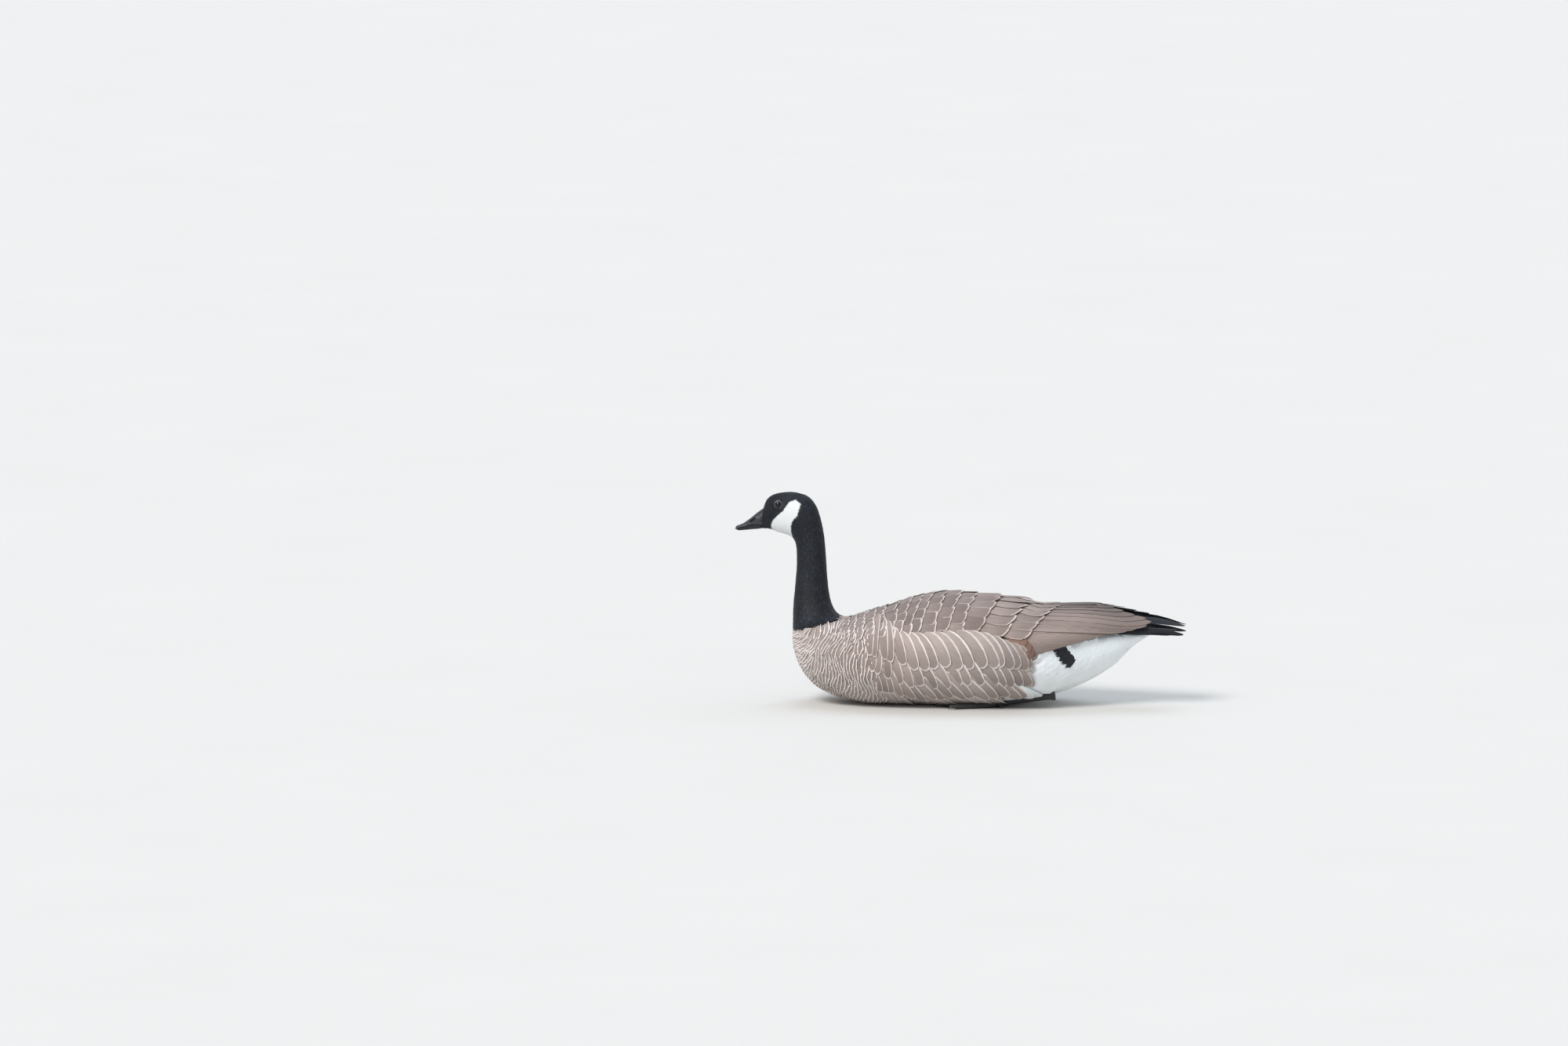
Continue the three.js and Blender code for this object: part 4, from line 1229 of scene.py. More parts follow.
class GOOSE_OT_body_coat(bpy.types.Operator):
    """Fringed feathers on breast, flanks and belly, white ones on the vent"""

    bl_idname = "goose.body_coat"
    bl_label = "Body feathers"

    def execute(self, context):
        random = np.random.default_rng(21)
        brown = plumage_finish("body feathers")
        white = plumage_finish("vent feathers", vary=0.05, streak=0.16, contrast=0.0)
        black = plumage_finish("rump feathers", vary=0.1, contrast=0.3)
        self.tract("breast_feathers", brown, random)
        self.tract("belly_feathers", brown, random)
        self.flanks(brown, random)
        self.tract("vent_feathers", white, random)
        self.tract("rump_feathers", black, random)
        self.thighs(random)
        return {"FINISHED"}

    @staticmethod
    def tract(name, material, random):
        """One tract in staggered rows over the coat's form."""
        sizes = BODY_TRACTS[name]
        exposure, spacing, high = (
            by([(x * MM, size) for x, size in sizes[key]]) for key in ("exposure", "spacing", "tip")
        )
        x, turn, row = rows_of_roots(
            leaning_point, sizes["span"][0] * MM, sizes["span"][1] * MM, exposure, spacing, random,
            turns=sizes.get("turns", (0, 2 * math.pi)), wobble=0.08, wave=sizes["wave"],
        )
        tract = Tract(WORK["coat"], leaning_point(x, turn), near=24 * MM)
        x, row = x[tract.kept], row[tract.kept]
        ahead = turned(body_flow(tract.root), tract.normal, random.normal(0, 0.03, len(x)))
        over = np.sum(row * np.cross(tract.normal, ahead), axis=1)
        skew = np.sum(row * ahead, axis=1) / np.where(np.abs(over) < 0.3, np.inf, over)
        skew = np.clip(skew, -0.8, 0.8) * smoothstep(tract.root[:, 0] / MM, -248, -215)
        long = exposure(x) * 2.6 * random.uniform(0.97, 1.03, len(x)) + 5 * MM
        near_bib = smoothstep(bib_height(tract.root) / MM, -16, -2) * (tract.root[:, 0] < BIB["back"] * MM)
        long *= 1 - 0.45 * near_bib
        tips = tract.root + ahead * long[:, None]
        mask = GOOSE_OT_body_coat.zone(name, tract.root, tips)
        x, long, tips, skew = tract.keep(mask, x, long, tips, skew)
        root = tract.root
        centre, fringe = markings(root + (tips - root) * 0.6, random.normal(0, 1.2, len(root)))
        half = spacing(x) * 0.78 * random.uniform(0.95, 1.05, len(root))
        mesh = feathers(
            name, sizes["vane"], WORK["coat"], root, tips, half, random,
            lift=(0.3 * MM, high(x)), ease=1.2, sway=random.normal(0, 0.03, len(root)), skew=skew,
            ragged=0.014, centre=centre, fringe=fringe, band=1 - sizes["fringe"] * MM / long,
        )
        finished(name, mesh, material, "body_plumage", "torso")

    @staticmethod
    def zone(name, root, tips):
        """Which feathers of a tract stay: clear of the neck, under the wings, on brown or on white."""
        middle, end = (root + tips) / 2 / MM, tips / MM
        limit = TIP_LIMIT(end[:, 0])
        white = middle[:, 0] > WHITE_ROOTS(middle[:, 2])
        mask = ~is_neck(root - [0, 0, 1 * MM])
        if name == "vent_feathers":
            return mask & white & (end[:, 2] < limit)
        if name == "rump_feathers":
            return mask
        open_side = (end[:, 0] < SHOULDER) | (end[:, 2] < FLANK_LOW)
        return mask & ~white & (end[:, 2] < limit + 3) & open_side

    @staticmethod
    def flanks(material, random):
        """Long flank feathers that fall backward over the wing's lower edge in overlapping ranks."""
        rows = []
        for side in (-1, 1):
            for rank, shift in enumerate(FLANK_RANK_STARTS):
                x = FLANK_ROWS[0][0] + shift + 3 * (side > 0)
                while x < FLANK_ROWS[-1][0] + 1:
                    high, fall, gap, long, half = flank_at(x)
                    low = high - FLANK_RANK_DROP * rank + random.normal(0, 1.0)
                    fall = (fall + random.normal(0, 2.0)) * np.interp(low, [20, 90], [0.3, 1])
                    fall = math.radians(fall)
                    long *= random.uniform(0.94, 1.06)
                    ahead = np.array([math.cos(fall), -math.sin(fall)])
                    up = np.array([math.sin(fall), math.cos(fall)])
                    start = np.array([x, low]) - 0.82 * half * up - 0.1 * long * ahead
                    ends = side_ends(start, start + long * ahead, side)
                    if ends:
                        lift = np.interp(x, [-128, -100, 60], [2.0, 2.7, 3.0]) - (0.8 if rank else 0)
                        rows.append((*ends, half * random.uniform(0.95, 1.05), side, lift))
                    x += gap * random.uniform(0.8, 1.2)
        root, tip, half, side, lift = (np.array(part, float) for part in zip(*rows))
        centre, fringe = markings(root + (tip - root) * 0.45)
        long = np.linalg.norm(tip - root, axis=1)
        mesh = feathers(
            "flank_feathers", LOOP_VANE, WORK["coat"], root, tip, half * MM, random,
            lift=(lift * MM, (lift + 1.6) * MM), ease=1.2, camber=0.1, roll=-0.11 * side, sway=0.07 * side,
            jitter=0.1 * MM, ragged=0.01, centre=centre, fringe=fringe, band=1 - 2.6 * MM / long,
            rim=random.uniform(0.6, 1, len(root)),
        )
        finished("flank_feathers", mesh, material, "body_plumage", "torso")

    @staticmethod
    def thighs(random):
        """Dark barbed tuft in front of the white vent."""
        black = plumage_tint("quill_black")
        rows = []
        for side in (-1, 1):
            for share in (np.arange(THIGH_COUNT) + 0.5) / THIGH_COUNT:
                fall = math.radians(197 + 34 * share + random.normal(0, 4))
                start = THIGH_ROOT + THIGH_RUN * share + random.normal(0, 0.15, 2)
                end = start + random.uniform(15, 21) * np.array([math.cos(fall), math.sin(fall)])
                ends = side_ends(start, end, side)
                if ends:
                    rows.append(ends)
        root, tip = (np.array(part) for part in zip(*rows))
        mesh = feathers(
            "thigh_feathers", BODY_VANE, WORK["coat"], root, tip, 2.3 * MM, random,
            lift=(0.4 * MM, 1.7 * MM), jitter=0.4 * MM, ragged=0.08,
            sway=random.normal(0, 0.08, len(root)), centre=black * 1.3, fringe=black * 3, band=0.95,
        )
        material = plumage_finish("thigh feathers", sheen=0.03)
        finished("thigh_feathers", mesh, material, "body_plumage", "torso")


def leaning_point(x, turn):
    """The body's surface with its stations leaned back toward the shoulder."""
    spots = body_point(x, turn)
    lean = 0.5 * np.maximum(spots[..., 2] - 92 * MM, 0)
    lean = lean * smoothstep(spots[..., 0] / MM, -252, -205) * smoothstep(spots[..., 0] / MM, -80, -120)
    return body_point(x + lean, turn)


def side_ends(start, end, side):
    """Where level lines at two places (station, height) meet the coat's form, or None if one misses it."""
    ends = []
    for x, z in (start, end):
        origin = Vector((x * MM, side * 0.3, z * MM))
        ends.append(WORK["coat"].ray_cast(origin, Vector((0, -side, 0)))[0])
    return None if None in ends else ends


# Long flank feathers: station and height of the upper edge, fall in degrees, gap, length, half width.
FLANK_ROWS = [
    (-124, 128, 84, 8, 44, 7.5),
    (-110, 136, 79, 8.5, 56, 8.5),
    (-98, 130, 71, 9.5, 60, 9.5),
    (-86, 121, 62, 11.5, 60, 11),
    (-60, 120, 52, 14, 62, 13),
    (-20, 125, 45, 17, 66, 15),
    (27, 127, 42, 18, 67, 16),
    (53, 122, 44, 16, 62, 15),
    (80, 113, 50, 13, 50, 13),
    (100, 105, 57, 10.5, 43, 11),
    (113, 96, 62, 9, 36, 9),
]
flank_at = curve_through(FLANK_ROWS, scale=1, step_scale=1)


class GOOSE_OT_back_coat(bpy.types.Operator):
    """Squared feathers of mantle and scapulars in cross rows with pale ends"""

    bl_idname = "goose.back_coat"
    bl_label = "Back feathers"

    def execute(self, context):
        random = np.random.default_rng(31)
        rows = []
        for i, (upper, lower, count, half, reach) in enumerate(BACK_ROWS):
            for side in (-1, 1):
                share = (np.arange(count) + 0.25 + 0.5 * (i % 2)) / count
                drop = np.radians(BACK_DROPS[0] + BACK_DROPS[1] * share)
                tip_x = upper + (lower - upper) * share**1.3 + random.normal(0, 1.2, count)
                tip = cloak_point(tip_x * MM, side * drop, CLOAK_INSET)
                lean = np.radians(random.normal(2, 1.5, count))
                root = cloak_point((tip_x - reach) * MM, side * (drop - lean), CLOAK_INSET)
                halves = half * random.uniform(0.92, 1.08, count) * MM
                bands = np.full(count, 1 - 2.2 / reach)
                skews = np.full(count, -side * (upper - lower) / 100)
                rows.append((root, tip, halves, bands, skews))
        root, tip, half, band, skew = (np.concatenate(part) for part in zip(*rows))
        root, tip = drape(WORK["coat"], root)[0], drape(WORK["coat"], tip)[0]
        behind = np.maximum(root + (tip - root) * 0.6, [(BIB["back"] + 4) * MM, -1, 0])
        centre, fringe = markings(behind)
        mesh = feathers(
            "back_feathers", SQUARE_VANE, WORK["coat"], root, tip, half, random,
            lift=(0.3 * MM, 3.5 * MM), ease=1.15, jitter=0.2 * MM, camber=0.03, skew=skew, ragged=0.015,
            sway=random.normal(0, 0.02, len(root)), centre=centre, fringe=fringe, band=band,
        )
        material = plumage_finish("back feathers")
        finished("back_feathers", mesh, material, "wing_feathers", "wing_left", "wing_right")
        return {"FINISHED"}


# Drop of the first feather of a row beside the back's middle, and the way to the last, in degrees.
BACK_DROPS = (2, 63)
# Cross rows of the back: tip station above and below, feathers a side, half width, length.
BACK_ROWS = [
    (-168, -164, 7, 9, 26),
    (-156, -152, 7, 9.5, 28),
    (-143, -138, 7, 10, 30),
    (-129, -122, 7, 10.5, 32),
    (-112, -106, 7, 11, 35),
    (-92, -91, 6, 12.5, 40),
    (-70, -80, 5, 13.5, 42),
    (-54, -68, 5, 14.5, 44),
    (-38, -54, 5, 14.5, 44),
    (-18, -31, 5, 15, 46),
    (4, -10, 5, 15, 48),
    (27, 12, 5, 15, 50),
    (64, 39, 5, 15, 58),
]


class GOOSE_OT_wings(bpy.types.Operator):
    """Greater coverts, secondaries, tertials and primaries of both folded wings"""

    bl_idname = "goose.wings"
    bl_label = "Wings"

    def execute(self, context):
        quills = plumage_finish("flight feathers", streak=0.22, contrast=1.2, sheen=0.05)
        coverts = plumage_finish("coverts")
        for side, label in ((-1, "left"), (1, "right")):
            random = np.random.default_rng(41 + side)
            self.coverts(side, label, coverts, random)
            self.quills(side, label, quills, random)
        return {"FINISHED"}

    @staticmethod
    def coverts(side, label, material, random):
        """Tiers of greater coverts with pale ends."""
        rows = []
        for first, last, count, long, lean, half in WING_TIERS:
            for share in (np.arange(count) + 0.5) / count:
                tip_x, drop = between(first, last, share)
                rows.append((tip_x, drop, tip_x - long, drop - lean, half, 1 - 2.6 / long))
        tip_x, drop, root_x, root_drop, half, band = np.array(rows).T
        name = "wing_coverts_" + label
        root, tip = wing_spot(side, root_x, root_drop), wing_spot(side, tip_x, drop)
        mesh = feathers(
            name, SQUARE_VANE, WORK["cloak"], root, tip, half * MM, random,
            lift=(-0.8 * MM, 3.9 * MM), ease=0.9, camber=0.03, jitter=0.15 * MM, roll=0.06 * side,
            skew=-0.5 * side, ragged=0.015, centre=plumage_tint("wing_brown"),
            fringe=plumage_tint("fringe_buff"), band=band,
        )
        finished(name, mesh, material, "wing_feathers", "wing_" + label)

    @staticmethod
    def quills(side, label, material, random):
        """Secondaries, tertials, rusty feathers and primaries: their places, lifts, band and colour."""
        brown, black = plumage_tint("wing_brown"), plumage_tint("quill_black")
        rows = []
        first, last, count, half, root_x, root_run, lean = SECONDARIES
        for share in np.linspace(0, 1, count):
            tip_x, drop = between(first, last, share)
            places = (tip_x, drop, root_x + root_run * share, drop - lean)
            rise = 1.2 * (1 - share)
            rows.append((*places, half, rise - 1.9, rise + 0.1, 0.985, brown))
        for k, (*places, half) in enumerate(TERTIALS):
            low, high = (lift + step * k for lift, step in zip(TERTIAL_LIFTS, TERTIAL_STEPS))
            tint = brown * (0.93 - 0.035 * k - 0.2 * (k > 6))
            rows.append((*places, half, low, high, 0.988, tint))
        for places in RUFOUS:
            rows.append((*places, 9.5, -1.0, 3.2, 0.96, plumage_tint("rufous")))
        for tip_x, reach, rise in PRIMARIES:
            drop = math.degrees(math.asin(reach / ((cloak_at(tip_x * MM)[1] - CLOAK_INSET) / MM)))
            drop += 13 * (side > 0 and drop > 45)
            root_drop = 30 + drop * 0.45
            rows.append((tip_x, drop, PRIMARY_ROOT, root_drop, PRIMARY_HALF, rise, rise, 0.992, black))
        table = np.array([row[:8] for row in rows])
        table[:, :2] += random.normal(0, 0.3, (len(rows), 2))
        tip_x, drop, root_x, root_drop, half, low, high, band = table.T
        centre = np.array([row[8] for row in rows])
        dark = centre.mean(axis=1) < 0.06
        name = "wing_feathers_" + label
        root, tip = wing_spot(side, root_x, root_drop), wing_spot(side, tip_x, drop)
        # The brown quills get fringes darker than their centres, partly their own dark edges and partly
        # painted shadow between overlapping feathers; the black primaries get paler fringes.
        mesh = feathers(
            name, QUILL_VANE, WORK["cloak"], root, tip, half * MM, random,
            lift=(low * MM, high * MM), ease=0.5, camber=0.04, jitter=0.05 * MM,
            roll=side * np.where(dark, -0.2, 0.07), ridge=0.35 * MM, thickness=0.3 * MM, ragged=0.006,
            centre=centre, fringe=np.where(dark[:, None], centre * 4, centre * 0.4), band=band,
        )
        finished(name, mesh, material, "wing_feathers", "wing_" + label)


def wing_spot(side, x, drop):
    """A place on the cloak by station and by drop in degrees to one side of the back's middle."""
    return cloak_point(x * MM, side * np.radians(drop), CLOAK_INSET)


def between(first, last, share):
    return [a + (b - a) * share for a, b in zip(first, last)]


# Tiers of greater coverts: upper and lower tip (station, drop in degrees), count, length, lean, half width.
WING_TIERS = [
    ((110, 6), (79, 68), 5, 54, 3, 14),
    ((157, 6), (111, 69), 6, 60, 3, 13),
]
# Secondaries: first and last tip (station, drop), count, half width, station of the first root and the way
# to the last, and how far the roots' drop lies before the tips'.
SECONDARIES = ((252, 73), (127, 92), 11, 8, 104, -50, 12)
# Lifts of the lowest tertial at root and tip, and what each next one adds to them.
TERTIAL_LIFTS, TERTIAL_STEPS = (-0.8, 3.4), (0.1, 0.28)
# Tertials: tip station and drop, root station and drop, half width.
TERTIALS = [
    (262, 71, 98, 57, 9.5),
    (276, 66, 101, 52, 9.5),
    (288, 60, 104, 46, 10),
    (294, 50, 110, 37, 10.5),
    (286, 40, 114, 29, 10.5),
    (268, 31, 118, 23, 10.5),
    (250, 22, 120, 16, 10),
    (236, 13, 122, 9, 10),
    (216, 5, 126, 3, 10),
]
# Rusty feathers between flank and wing: tip station and drop, root station and drop.
RUFOUS = [(110, 76, 78, 72), (118, 84, 84, 78), (121, 91, 88, 84), (116, 97, 86, 90)]
PRIMARY_ROOT, PRIMARY_HALF = 206, 7.6
# Primaries: tip station, reach from the middle, lift.
PRIMARIES = [
    (316, 37, -5.6),
    (331, 35, -5.2),
    (345, 32, -4.6),
    (314, 15, -2.2),
    (331, 12, -1.5),
    (346, 9, -0.6),
]


class GOOSE_OT_tail(bpy.types.Operator):
    """Black tail in a narrow fan under the wing tips"""

    bl_idname = "goose.tail"
    bl_label = "Tail"

    def execute(self, context):
        random = np.random.default_rng(51)
        black = plumage_tint("quill_black") * 0.5
        place = np.arange(TAIL["count"]) - (TAIL["count"] - 1) / 2
        angle = np.radians(place * TAIL["step"])
        share = (place / place[-1]) ** 2
        root = tail_point(FAN["root"] + 0 * angle, angle)
        tip = tail_point(TAIL["tip"] - TAIL["rounding"] * share, angle)
        form = mesh_from([bent_grid(60, 40, tail_form, close_ends=False)], "tail_form")
        tree = surface_tree(form)
        bpy.data.meshes.remove(form)
        height = -0.2 * MM * np.abs(place)
        mesh = feathers(
            "tail_feathers", QUILL_VANE, tree, root, tip, TAIL["half"] * MM, random,
            lift=(height, height), camber=0.03, jitter=0.05 * MM, ridge=0.3 * MM, thickness=0.22 * MM,
            centre=black, fringe=black * 1.6, band=0.99,
        )
        material = plumage_finish("tail feathers", roughness=0.6, sheen=0.0)
        finished("tail_feathers", mesh, material, "tail_feathers", "tail")
        return {"FINISHED"}


# Tail feathers: count, degrees from one to the next, half width, the middle ones' reach from the fan's centre
# and how much shorter the outer ones are.
TAIL = {"count": 18, "step": 2.5, "half": 7.4, "tip": 113, "rounding": 4}
# The fan's centre, the reach of its roots, and the height it loses over its length and toward its sides.
FAN = {"x": 218, "z": 120, "root": 52, "length": 60, "fall": 4, "side": 46, "arch": 2}


def tail_point(reach, angle):
    """The fan's surface by reach in millimetres from its centre and by angle from the middle."""
    x, y = FAN["x"] + reach * np.cos(angle), reach * np.sin(angle)
    fall = FAN["fall"] * (reach - FAN["root"]) / FAN["length"] + FAN["arch"] * (y / FAN["side"]) ** 2
    return np.stack([x, y, FAN["z"] - fall], axis=-1) * MM


def tail_form(u, v):
    return tail_point(40 + 80 * v, (u - 0.5) * 1.2)


# Bill, eyes and feet


# Power of the arch of the bill's sections, and the share of a section's edge that lies outside.
BILL_ARCH, OUTER_SHARE = 0.75, 0.72
# Each half: station of its tip, length, and start and length of the rounding at its tip.
BILL_UPPER = {"tip": -345.8, "length": 52.8, "start": -345.95, "round": 3.2}
BILL_LOWER = {"tip": -344.3, "length": 51.3, "start": -344.5, "round": 4}
NOSTRIL = {"x": -319, "z": 278.6, "slope": 35, "length": 6.2, "height": 1.9, "depth": 1.9}
NAIL = {"x": -341.5, "length": 6, "width": 4.6, "height": 0.45}


def nostril_reach(x, z):
    """Distance from the nostril's middle in side view, 1 at its edge."""
    slope = math.radians(NOSTRIL["slope"])
    dx, dz = x - NOSTRIL["x"], z - NOSTRIL["z"]
    along = (dx * math.cos(slope) + dz * math.sin(slope)) / NOSTRIL["length"]
    high = (dz * math.cos(slope) - dx * math.sin(slope)) / NOSTRIL["height"]
    return np.hypot(along, high)


def bill_stations(half, v):
    """Stations of a half's sections, closer toward its tip, and how far its round tip has opened there."""
    x = half["tip"] + half["length"] * v**1.3
    ahead = np.clip((x - half["start"]) / half["round"], 0, 1)
    return x * MM, np.sqrt(ahead * (2 - ahead))


def bill_turn(u):
    """Which places of a section lie outside, and their turn from one cutting edge to the other."""
    outer = u < OUTER_SHARE
    return outer, math.pi * np.where(outer, u / OUTER_SHARE, (1 - u) / (1 - OUTER_SHARE))


def bill_upper_point(u, v):
    """Upper half: an arch from one cutting edge to the other, closed below by a hollow palate."""
    x, nose = bill_stations(BILL_UPPER, v)
    culmen, mouth, _, half = np.moveaxis(bill_at(x), -1, 0)
    outer, turn = bill_turn(u)
    y = -half * nose * np.cos(turn)
    rise = np.sin(turn) ** BILL_ARCH * nose
    z = mouth + (culmen - mouth) * rise * np.where(outer, 1, 0.35)
    spots = np.stack([x, y, z], axis=-1)
    away = np.hypot((x / MM - NAIL["x"]) / NAIL["length"], y / MM / NAIL["width"])
    bulge = NAIL["height"] * np.sqrt(np.clip(1 - away**2, 0, 1)) * outer
    spots += np.stack([-0.5 * bulge, 0 * bulge, 0.85 * bulge], axis=-1) * MM
    reach = nostril_reach(x / MM, z / MM)
    pit = smoothstep(reach, 1.15, 0.55) * outer
    rim = np.exp(-(((reach - 1.3) / 0.25) ** 2)) * outer
    spots[..., 1] -= np.sign(y) * (NOSTRIL["depth"] * pit - 0.3 * rim) * MM
    groove = np.exp(-(((z - mouth) / MM - 2.2) / 0.8) ** 2) * smoothstep(x / MM, -300, -306) * outer
    spots[..., 1] -= np.sign(y) * 0.3 * groove * MM
    return spots


def bill_lower_point(u, v):
    """Lower half: a shallow trough under the mouth line, narrower than the upper half."""
    x, nose = bill_stations(BILL_LOWER, v)
    _, mouth, low, half = np.moveaxis(bill_at(x), -1, 0)
    outer, turn = bill_turn(u)
    y = half * 0.88 * nose * np.cos(turn)
    drop = np.sin(turn) ** BILL_ARCH
    base = mouth - 0.35 * MM
    z = np.where(outer, base + (low - base) * drop * nose, base - 1.2 * MM * drop)
    hollow = np.exp(-((y / MM / 2.2) ** 2)) * smoothstep(x / MM, -334, -326) * outer
    return np.stack([x, y, z + 0.7 * MM * hollow], axis=-1)


def horn_finish(name):
    """Black horn, greyer where it is worn, with painted shade in the nostril pits and over the whole lower
    half.
    """
    settings = bpy.context.scene.goose_bill
    finish = Finish(name, Specular_IOR_Level=0.5)
    worn, shade = finish.attribute("worn"), finish.attribute("shade")
    place = finish.place()
    cloud = finish.noise(finish.scaled(place, (90, 160, 160)), detail=4.0, roughness=0.6)
    grain = finish.noise(finish.scaled(place, (350, 900, 900)), detail=3.0)
    tint = finish.mix(worn * (0.5 + cloud * 0.5), tuple(settings.horn), tuple(settings.edge))
    finish.set(
        Base_Color=finish.shade(tint, (0.7 + cloud * 0.6) * (1 - shade)),
        Roughness=0.3 + grain * 0.2 + worn * 0.1 + shade * 0.5,
    )
    finish.bump(grain * 0.6 + cloud, 0.25 * MM, 0.5)
    return finish.material


class GOOSE_OT_bill(bpy.types.Operator):
    """Horn bill in two halves, with nostrils, nail and worn cutting edges"""

    bl_idname = "goose.bill"
    bl_label = "Bill"

    def execute(self, context):
        material = horn_finish("bill horn")
        for name, place in (("bill_upper", bill_upper_point), ("bill_lower", bill_lower_point)):
            mesh = mesh_from([bent_grid(112, 130, place)], name + "_horn")
            places = places_of(mesh)
            x, y, z = (places / MM).T
            mouth = bill_at(places[:, 0])[:, 1] / MM
            cutting = np.exp(-(((z - mouth) / 0.9) ** 2))
            nail = smoothstep(np.hypot((x - NAIL["x"]) / NAIL["length"], y / 5), 1.1, 0.8)
            float_layer(mesh, "worn", np.clip(cutting * 0.8 + nail * 0.7, 0, 1) * (name == "bill_upper"))
            # Painted shade: the nostril pits and the whole lower half are darkened.
            pit = smoothstep(nostril_reach(x, z), 1.1, 0.7)
            float_layer(mesh, "shade", 0.9 * pit if name == "bill_upper" else np.full(len(x), 0.55))
            if name == "bill_upper":
                WORK["face"] = surface_tree(bpy.data.objects["plumage_skin"].data, mesh)
            finished(name + "_horn", mesh, material, "bill_horn", name)
        return {"FINISHED"}


def eye_finish(name):
    """Wet eye with a pupil in a rayed iris."""
    settings = bpy.context.scene.goose_eye
    finish = Finish(name, Roughness=0.3, Coat_Weight=0.7, Coat_Roughness=0.02, Specular_IOR_Level=0.05)
    parts = finish.node("SeparateXYZ", None, {0: finish.place()}).outputs
    dx, dz = Field(finish, parts[0]) - EYE["x"] * MM, Field(finish, parts[2]) - EYE["z"] * MM
    away = (dx * dx + dz * dz) ** 0.5 / MM
    rays = finish.noise(finish.vector(dx.math("ARCTAN2", dz) * 9, away * 0.3, 0.0), detail=3.0)
    iris = away.over(2.7, 3.1) * away.over(4.4, 5.0, 1.0, 0.35)
    finish.set(Base_Color=finish.shade(tuple(settings.iris)[:3], iris * (0.5 + rays) * 0.5 + 0.05))
    return finish.material


def lid_finish(name):
    """Bare lid, pale on its rim."""
    settings = bpy.context.scene.goose_eye
    black = bpy.context.scene.goose_plumage.neck_black
    finish = Finish(name, Roughness=0.55)
    grain = finish.noise(finish.scaled(finish.place(), (1500, 1500, 1500)), detail=2.0)
    tint = finish.mix(finish.attribute("worn") * (0.75 + grain * 0.5), tuple(black), tuple(settings.lid))
    finish.set(Base_Color=tint)
    finish.bump(grain, 0.1 * MM, 0.5)
    return finish.material


class GOOSE_OT_eyes(bpy.types.Operator):
    """Glossy dark eyes in thin pale lids"""

    bl_idname = "goose.eyes"
    bl_label = "Eyes"

    def execute(self, context):
        ball, ring = eye_finish("eye"), lid_finish("eye lid")
        tree = surface_tree(bpy.data.objects["plumage_skin"].data)
        for side, label in ((-1, "left"), (1, "right")):
            centre = np.array([EYE["x"], side * EYE["y"], EYE["z"]]) * MM
            mesh = mesh_from([eyeball_form(side, centre)], "eyeball_" + label)
            finished("eyeball_" + label, mesh, ball, "eye", "eye_" + label)
            mesh = mesh_from([lid_form(side, centre, tree)], "eye_lid_" + label)
            places = places_of(mesh)
            dx, dz = (places[:, 0] - centre[0]) / MM, (places[:, 2] - centre[2]) / MM
            out = np.hypot(dx / LID_OPENING[0], dz / LID_OPENING[1])
            float_layer(mesh, "worn", smoothstep(out, 1.16, 1.23) * smoothstep(out, 1.36, 1.29))
            finished("eye_lid_" + label, mesh, ring, "body_plumage", "head")
        return {"FINISHED"}


# Half axes of the opening between the lids, along and up, and the lid's width there.
LID_OPENING, LID_WIDTH = (4.75, 4.35), (3.1, 3.0)


def eyeball_form(side, centre):
    """A ball with a slightly raised cornea."""
    radius = bpy.context.scene.goose_eye.radius

    def place(u, v):
        tilt, turn = math.pi * v, 2 * math.pi * u
        bulge = 1 + 0.05 * np.exp(-((tilt / 0.45) ** 2))
        flat = np.sin(tilt) * radius
        spots = [flat * np.cos(turn), side * np.cos(tilt) * radius * bulge, side * flat * np.sin(turn)]
        return centre + np.stack(spots, axis=-1)

    return bent_grid(64, 40, place)


def lid_form(side, centre, tree):
    """A ring that lies on the ball at its opening and on the skin at its outer edge."""
    radius = bpy.context.scene.goose_eye.radius

    def place(u, v):
        turn, loop = 2 * math.pi * u, 2 * math.pi * v
        wide, out = (1 + np.cos(loop)) / 2, np.sin(loop)
        share_x, share_z = (
            (opening + width * wide) / (opening + width) for opening, width in zip(LID_OPENING, LID_WIDTH)
        )
        rim_x = np.cos(turn) * (LID_OPENING[0] + LID_WIDTH[0]) * MM
        rim_z = side * np.sin(turn) * (LID_OPENING[1] + LID_WIDTH[1]) * (1 - 0.06 * np.cos(turn)) * MM
        dx, dz = rim_x * share_x, rim_z * share_z
        on_ball = EYE["y"] * MM + np.sqrt(np.maximum(radius**2 - dx**2 - dz**2, 0)) + 0.1 * MM
        start = np.stack([centre[0] + rim_x, np.full_like(dx, side * 0.05), centre[2] + rim_z], axis=-1)
        rim = [tree.ray_cast(Vector(spot), Vector((0, -side, 0)))[0] for spot in start.reshape(-1, 3)]
        rim = np.abs([spot[1] for spot in rim]).reshape(dx.shape)
        share = smoothstep(wide, 0.1, 0.95)
        ridge = 0.75 * MM * np.exp(-(((wide - 0.3) / 0.2) ** 2))
        y = on_ball * (1 - share) + (rim - 0.1 * MM) * share + ridge
        y = np.maximum(y, on_ball + 0.2 * MM) + 0.25 * MM * out - 0.25 * MM
        return np.stack([centre[0] + dx, side * y, centre[2] + dz], axis=-1)

    return bent_grid(72, 28, place, close_ends=False)


HEEL, TOE_JOINT = (150, 48, 20), (62, 48, 7)
# Toes: length, spread in degrees, radius.
TOES = [(70, 24, 5), (86, 2, 5.4), (78, -19, 5.2)]
TOE_HEIGHT, CLAW_LENGTH = 4, 11


